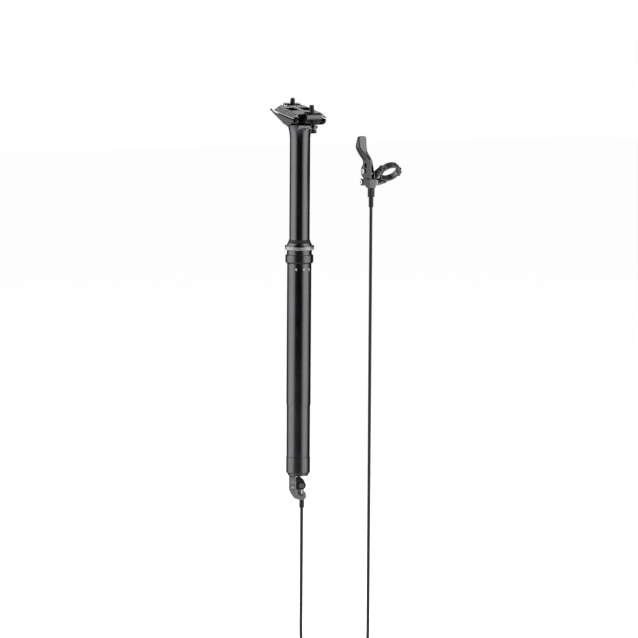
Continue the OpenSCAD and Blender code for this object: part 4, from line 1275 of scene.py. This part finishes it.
def make_softbox(context, name, power, size, place, aim):
    """One rectangular softbox that faces a point."""
    data = bpy.data.lights.new(name, "AREA")
    data.shape = "RECTANGLE"
    data.size = size[0]
    data.size_y = size[1]
    data.energy = power
    data.use_nodes = True
    fade_softbox(data.node_tree)
    lamp = bpy.data.objects.new(name, data)
    context.scene.collection.objects.link(lamp)
    lamp.location = place
    lamp.rotation_euler = (aim - place).to_track_quat("-Z", "Y").to_euler()


def make_world(context, studio, back):
    """A white surround for the picture and a plain soft one for the light."""
    world = bpy.data.worlds.new("Studio surround")
    context.scene.world = world
    world.use_nodes = True
    tree = world.node_tree
    soft = tree.nodes["Background"]
    soft.inputs["Color"].default_value = (1, 1, 1, 1)
    soft.inputs["Strength"].default_value = studio.surround
    white = tree.nodes.new("ShaderNodeBackground")
    white.inputs["Color"].default_value = (1, 1, 1, 1)
    mirror = tree.nodes.new("ShaderNodeBackground")
    place = tree.nodes.new("ShaderNodeTexCoord")
    facing = tree.nodes.new("ShaderNodeVectorMath")
    facing.operation = "DOT_PRODUCT"
    facing.inputs[1].default_value = -back
    tree.links.new(place.outputs["Generated"], facing.inputs[0])
    fade = tree.nodes.new("ShaderNodeMapRange")
    fade.interpolation_type = "SMOOTHSTEP"
    fade.inputs["From Min"].default_value = 0.8
    fade.inputs["From Max"].default_value = 0.97
    fade.inputs["To Min"].default_value = 0.012
    fade.inputs["To Max"].default_value = 1
    tree.links.new(facing.outputs["Value"], fade.inputs["Value"])
    tree.links.new(fade.outputs["Result"], mirror.inputs["Strength"])
    path = tree.nodes.new("ShaderNodeLightPath")
    seen = tree.nodes.new("ShaderNodeMath")
    seen.operation = "MAXIMUM"
    tree.links.new(path.outputs["Is Camera Ray"], seen.inputs[0])
    tree.links.new(path.outputs["Is Transmission Ray"], seen.inputs[1])
    glossy = tree.nodes.new("ShaderNodeMixShader")
    tree.links.new(path.outputs["Is Glossy Ray"], glossy.inputs["Fac"])
    tree.links.new(soft.outputs["Background"], glossy.inputs[1])
    tree.links.new(mirror.outputs["Background"], glossy.inputs[2])
    whole = tree.nodes.new("ShaderNodeMixShader")
    tree.links.new(seen.outputs["Value"], whole.inputs["Fac"])
    tree.links.new(glossy.outputs["Shader"], whole.inputs[1])
    tree.links.new(white.outputs["Background"], whole.inputs[2])
    tree.links.new(whole.outputs["Shader"], tree.nodes["World Output"].inputs["Surface"])


def make_floor(context, back):
    """A plain pale floor under the hanging coil, most of it behind the object."""
    level = CAD_BOX[0].z - 2 * MM
    width = 14
    behind = -6.5
    deselect_all()
    bpy.ops.mesh.primitive_plane_add(size=width, location=(behind * back.x, behind * back.y, level))
    floor = context.object
    floor.name = "studio_floor"
    material = bpy.data.materials.new("Pale floor")
    material.use_nodes = True
    tree = material.node_tree
    shader = tree.nodes["Principled BSDF"]
    shader.inputs["Base Color"].default_value = (0.85, 0.85, 0.85, 1)
    shader.inputs["Roughness"].default_value = 0.9
    shader.inputs["Specular IOR Level"].default_value = 0
    shader.inputs["Emission Color"].default_value = (1, 1, 1, 1)
    path = tree.nodes.new("ShaderNodeLightPath")
    seen = tree.nodes.new("ShaderNodeMath")
    seen.operation = "MULTIPLY"
    seen.inputs[1].default_value = 0.955
    tree.links.new(path.outputs["Is Camera Ray"], seen.inputs[0])
    tree.links.new(seen.outputs["Value"], shader.inputs["Emission Strength"])
    give_material(floor, material)


class SEATPOST_OT_make_studio(bpy.types.Operator):
    """Set up the camera, the softboxes, the surround and the floor"""

    bl_idname = "seatpost.make_studio"
    bl_label = "Make studio"

    def execute(self, context):
        studio = context.scene.seatpost_studio
        context.scene.view_settings.view_transform = "Standard"
        back = make_camera(context, studio)
        aim = Vector((0, 0, 0))
        level = Vector((back.x, back.y, 0)).normalized()
        reach = 1.5
        lift = Vector((0, 0, 0.25))
        height = 3.0
        right_width = 3.1
        for name, degrees, width in (("softbox_left", -83, 4.0), ("softbox_right", 70, right_width)):
            side = Matrix.Rotation(math.radians(degrees), 3, "Z") @ level
            place = aim + side * reach + lift
            power = studio.side_power * width / right_width
            make_softbox(context, name, power, (width, height), place, aim)
        head = Vector((0, 0, 0.19))
        behind = head - level * 1.15 + Vector((0, 0, 1.3))
        make_softbox(context, "softbox_top", studio.top_power, (2.4, 2.2), behind, head)
        make_world(context, studio, back)
        make_floor(context, back)
        return {"FINISHED"}


class SEATPOST_PT_sidebar(bpy.types.Panel):
    """The seatpost's pieces and finishes"""

    bl_idname = "SEATPOST_PT_sidebar"
    bl_label = "Dropper seatpost"
    bl_space_type = "VIEW_3D"
    bl_region_type = "UI"
    bl_category = "Seatpost"

    def draw(self, context):
        for settings in ("seatpost_finish", "seatpost_bolts", "seatpost_cable", "seatpost_studio"):
            group = getattr(context.scene, settings)
            box = self.layout.box()
            for name in group.__annotations__:
                box.prop(group, name)
        for operator in OPERATORS:
            self.layout.operator(operator.bl_idname)


SETTINGS = {
    "seatpost_finish": SeatpostFinishSettings,
    "seatpost_bolts": SeatpostBoltSettings,
    "seatpost_cable": SeatpostCableSettings,
    "seatpost_studio": SeatpostStudioSettings,
}
OPERATORS = (
    SEATPOST_OT_make_studio,
    SEATPOST_OT_tie_coil,
    SEATPOST_OT_lay_cable,
    SEATPOST_OT_cut_bolts,
    SEATPOST_OT_finish_tubes,
    SEATPOST_OT_finish_seal_head,
    SEATPOST_OT_finish_clamp,
    SEATPOST_OT_finish_actuator,
    SEATPOST_OT_finish_remote,
    SEATPOST_OT_finish_inside,
    SEATPOST_OT_soften_castings,
)


def register():
    """Register the classes and hang the settings on the scene."""
    for name, settings in SETTINGS.items():
        bpy.utils.register_class(settings)
        setattr(bpy.types.Scene, name, bpy.props.PointerProperty(type=settings))
    for operator in OPERATORS:
        bpy.utils.register_class(operator)
    bpy.utils.register_class(SEATPOST_PT_sidebar)


def unregister():
    """Take the settings and the classes away again."""
    bpy.utils.unregister_class(SEATPOST_PT_sidebar)
    for operator in reversed(OPERATORS):
        bpy.utils.unregister_class(operator)
    for name, settings in SETTINGS.items():
        delattr(bpy.types.Scene, name)
        bpy.utils.unregister_class(settings)


def main():
    """Build the studio and every piece."""
    register()
    bpy.ops.seatpost.make_studio()
    bpy.ops.seatpost.tie_coil()
    bpy.ops.seatpost.lay_cable()
    bpy.ops.seatpost.cut_bolts()
    bpy.ops.seatpost.finish_tubes()
    bpy.ops.seatpost.finish_seal_head()
    bpy.ops.seatpost.finish_clamp()
    bpy.ops.seatpost.finish_actuator()
    bpy.ops.seatpost.finish_remote()
    bpy.ops.seatpost.finish_inside()
    bpy.ops.seatpost.soften_castings()


if __name__ == "__main__":
    main()
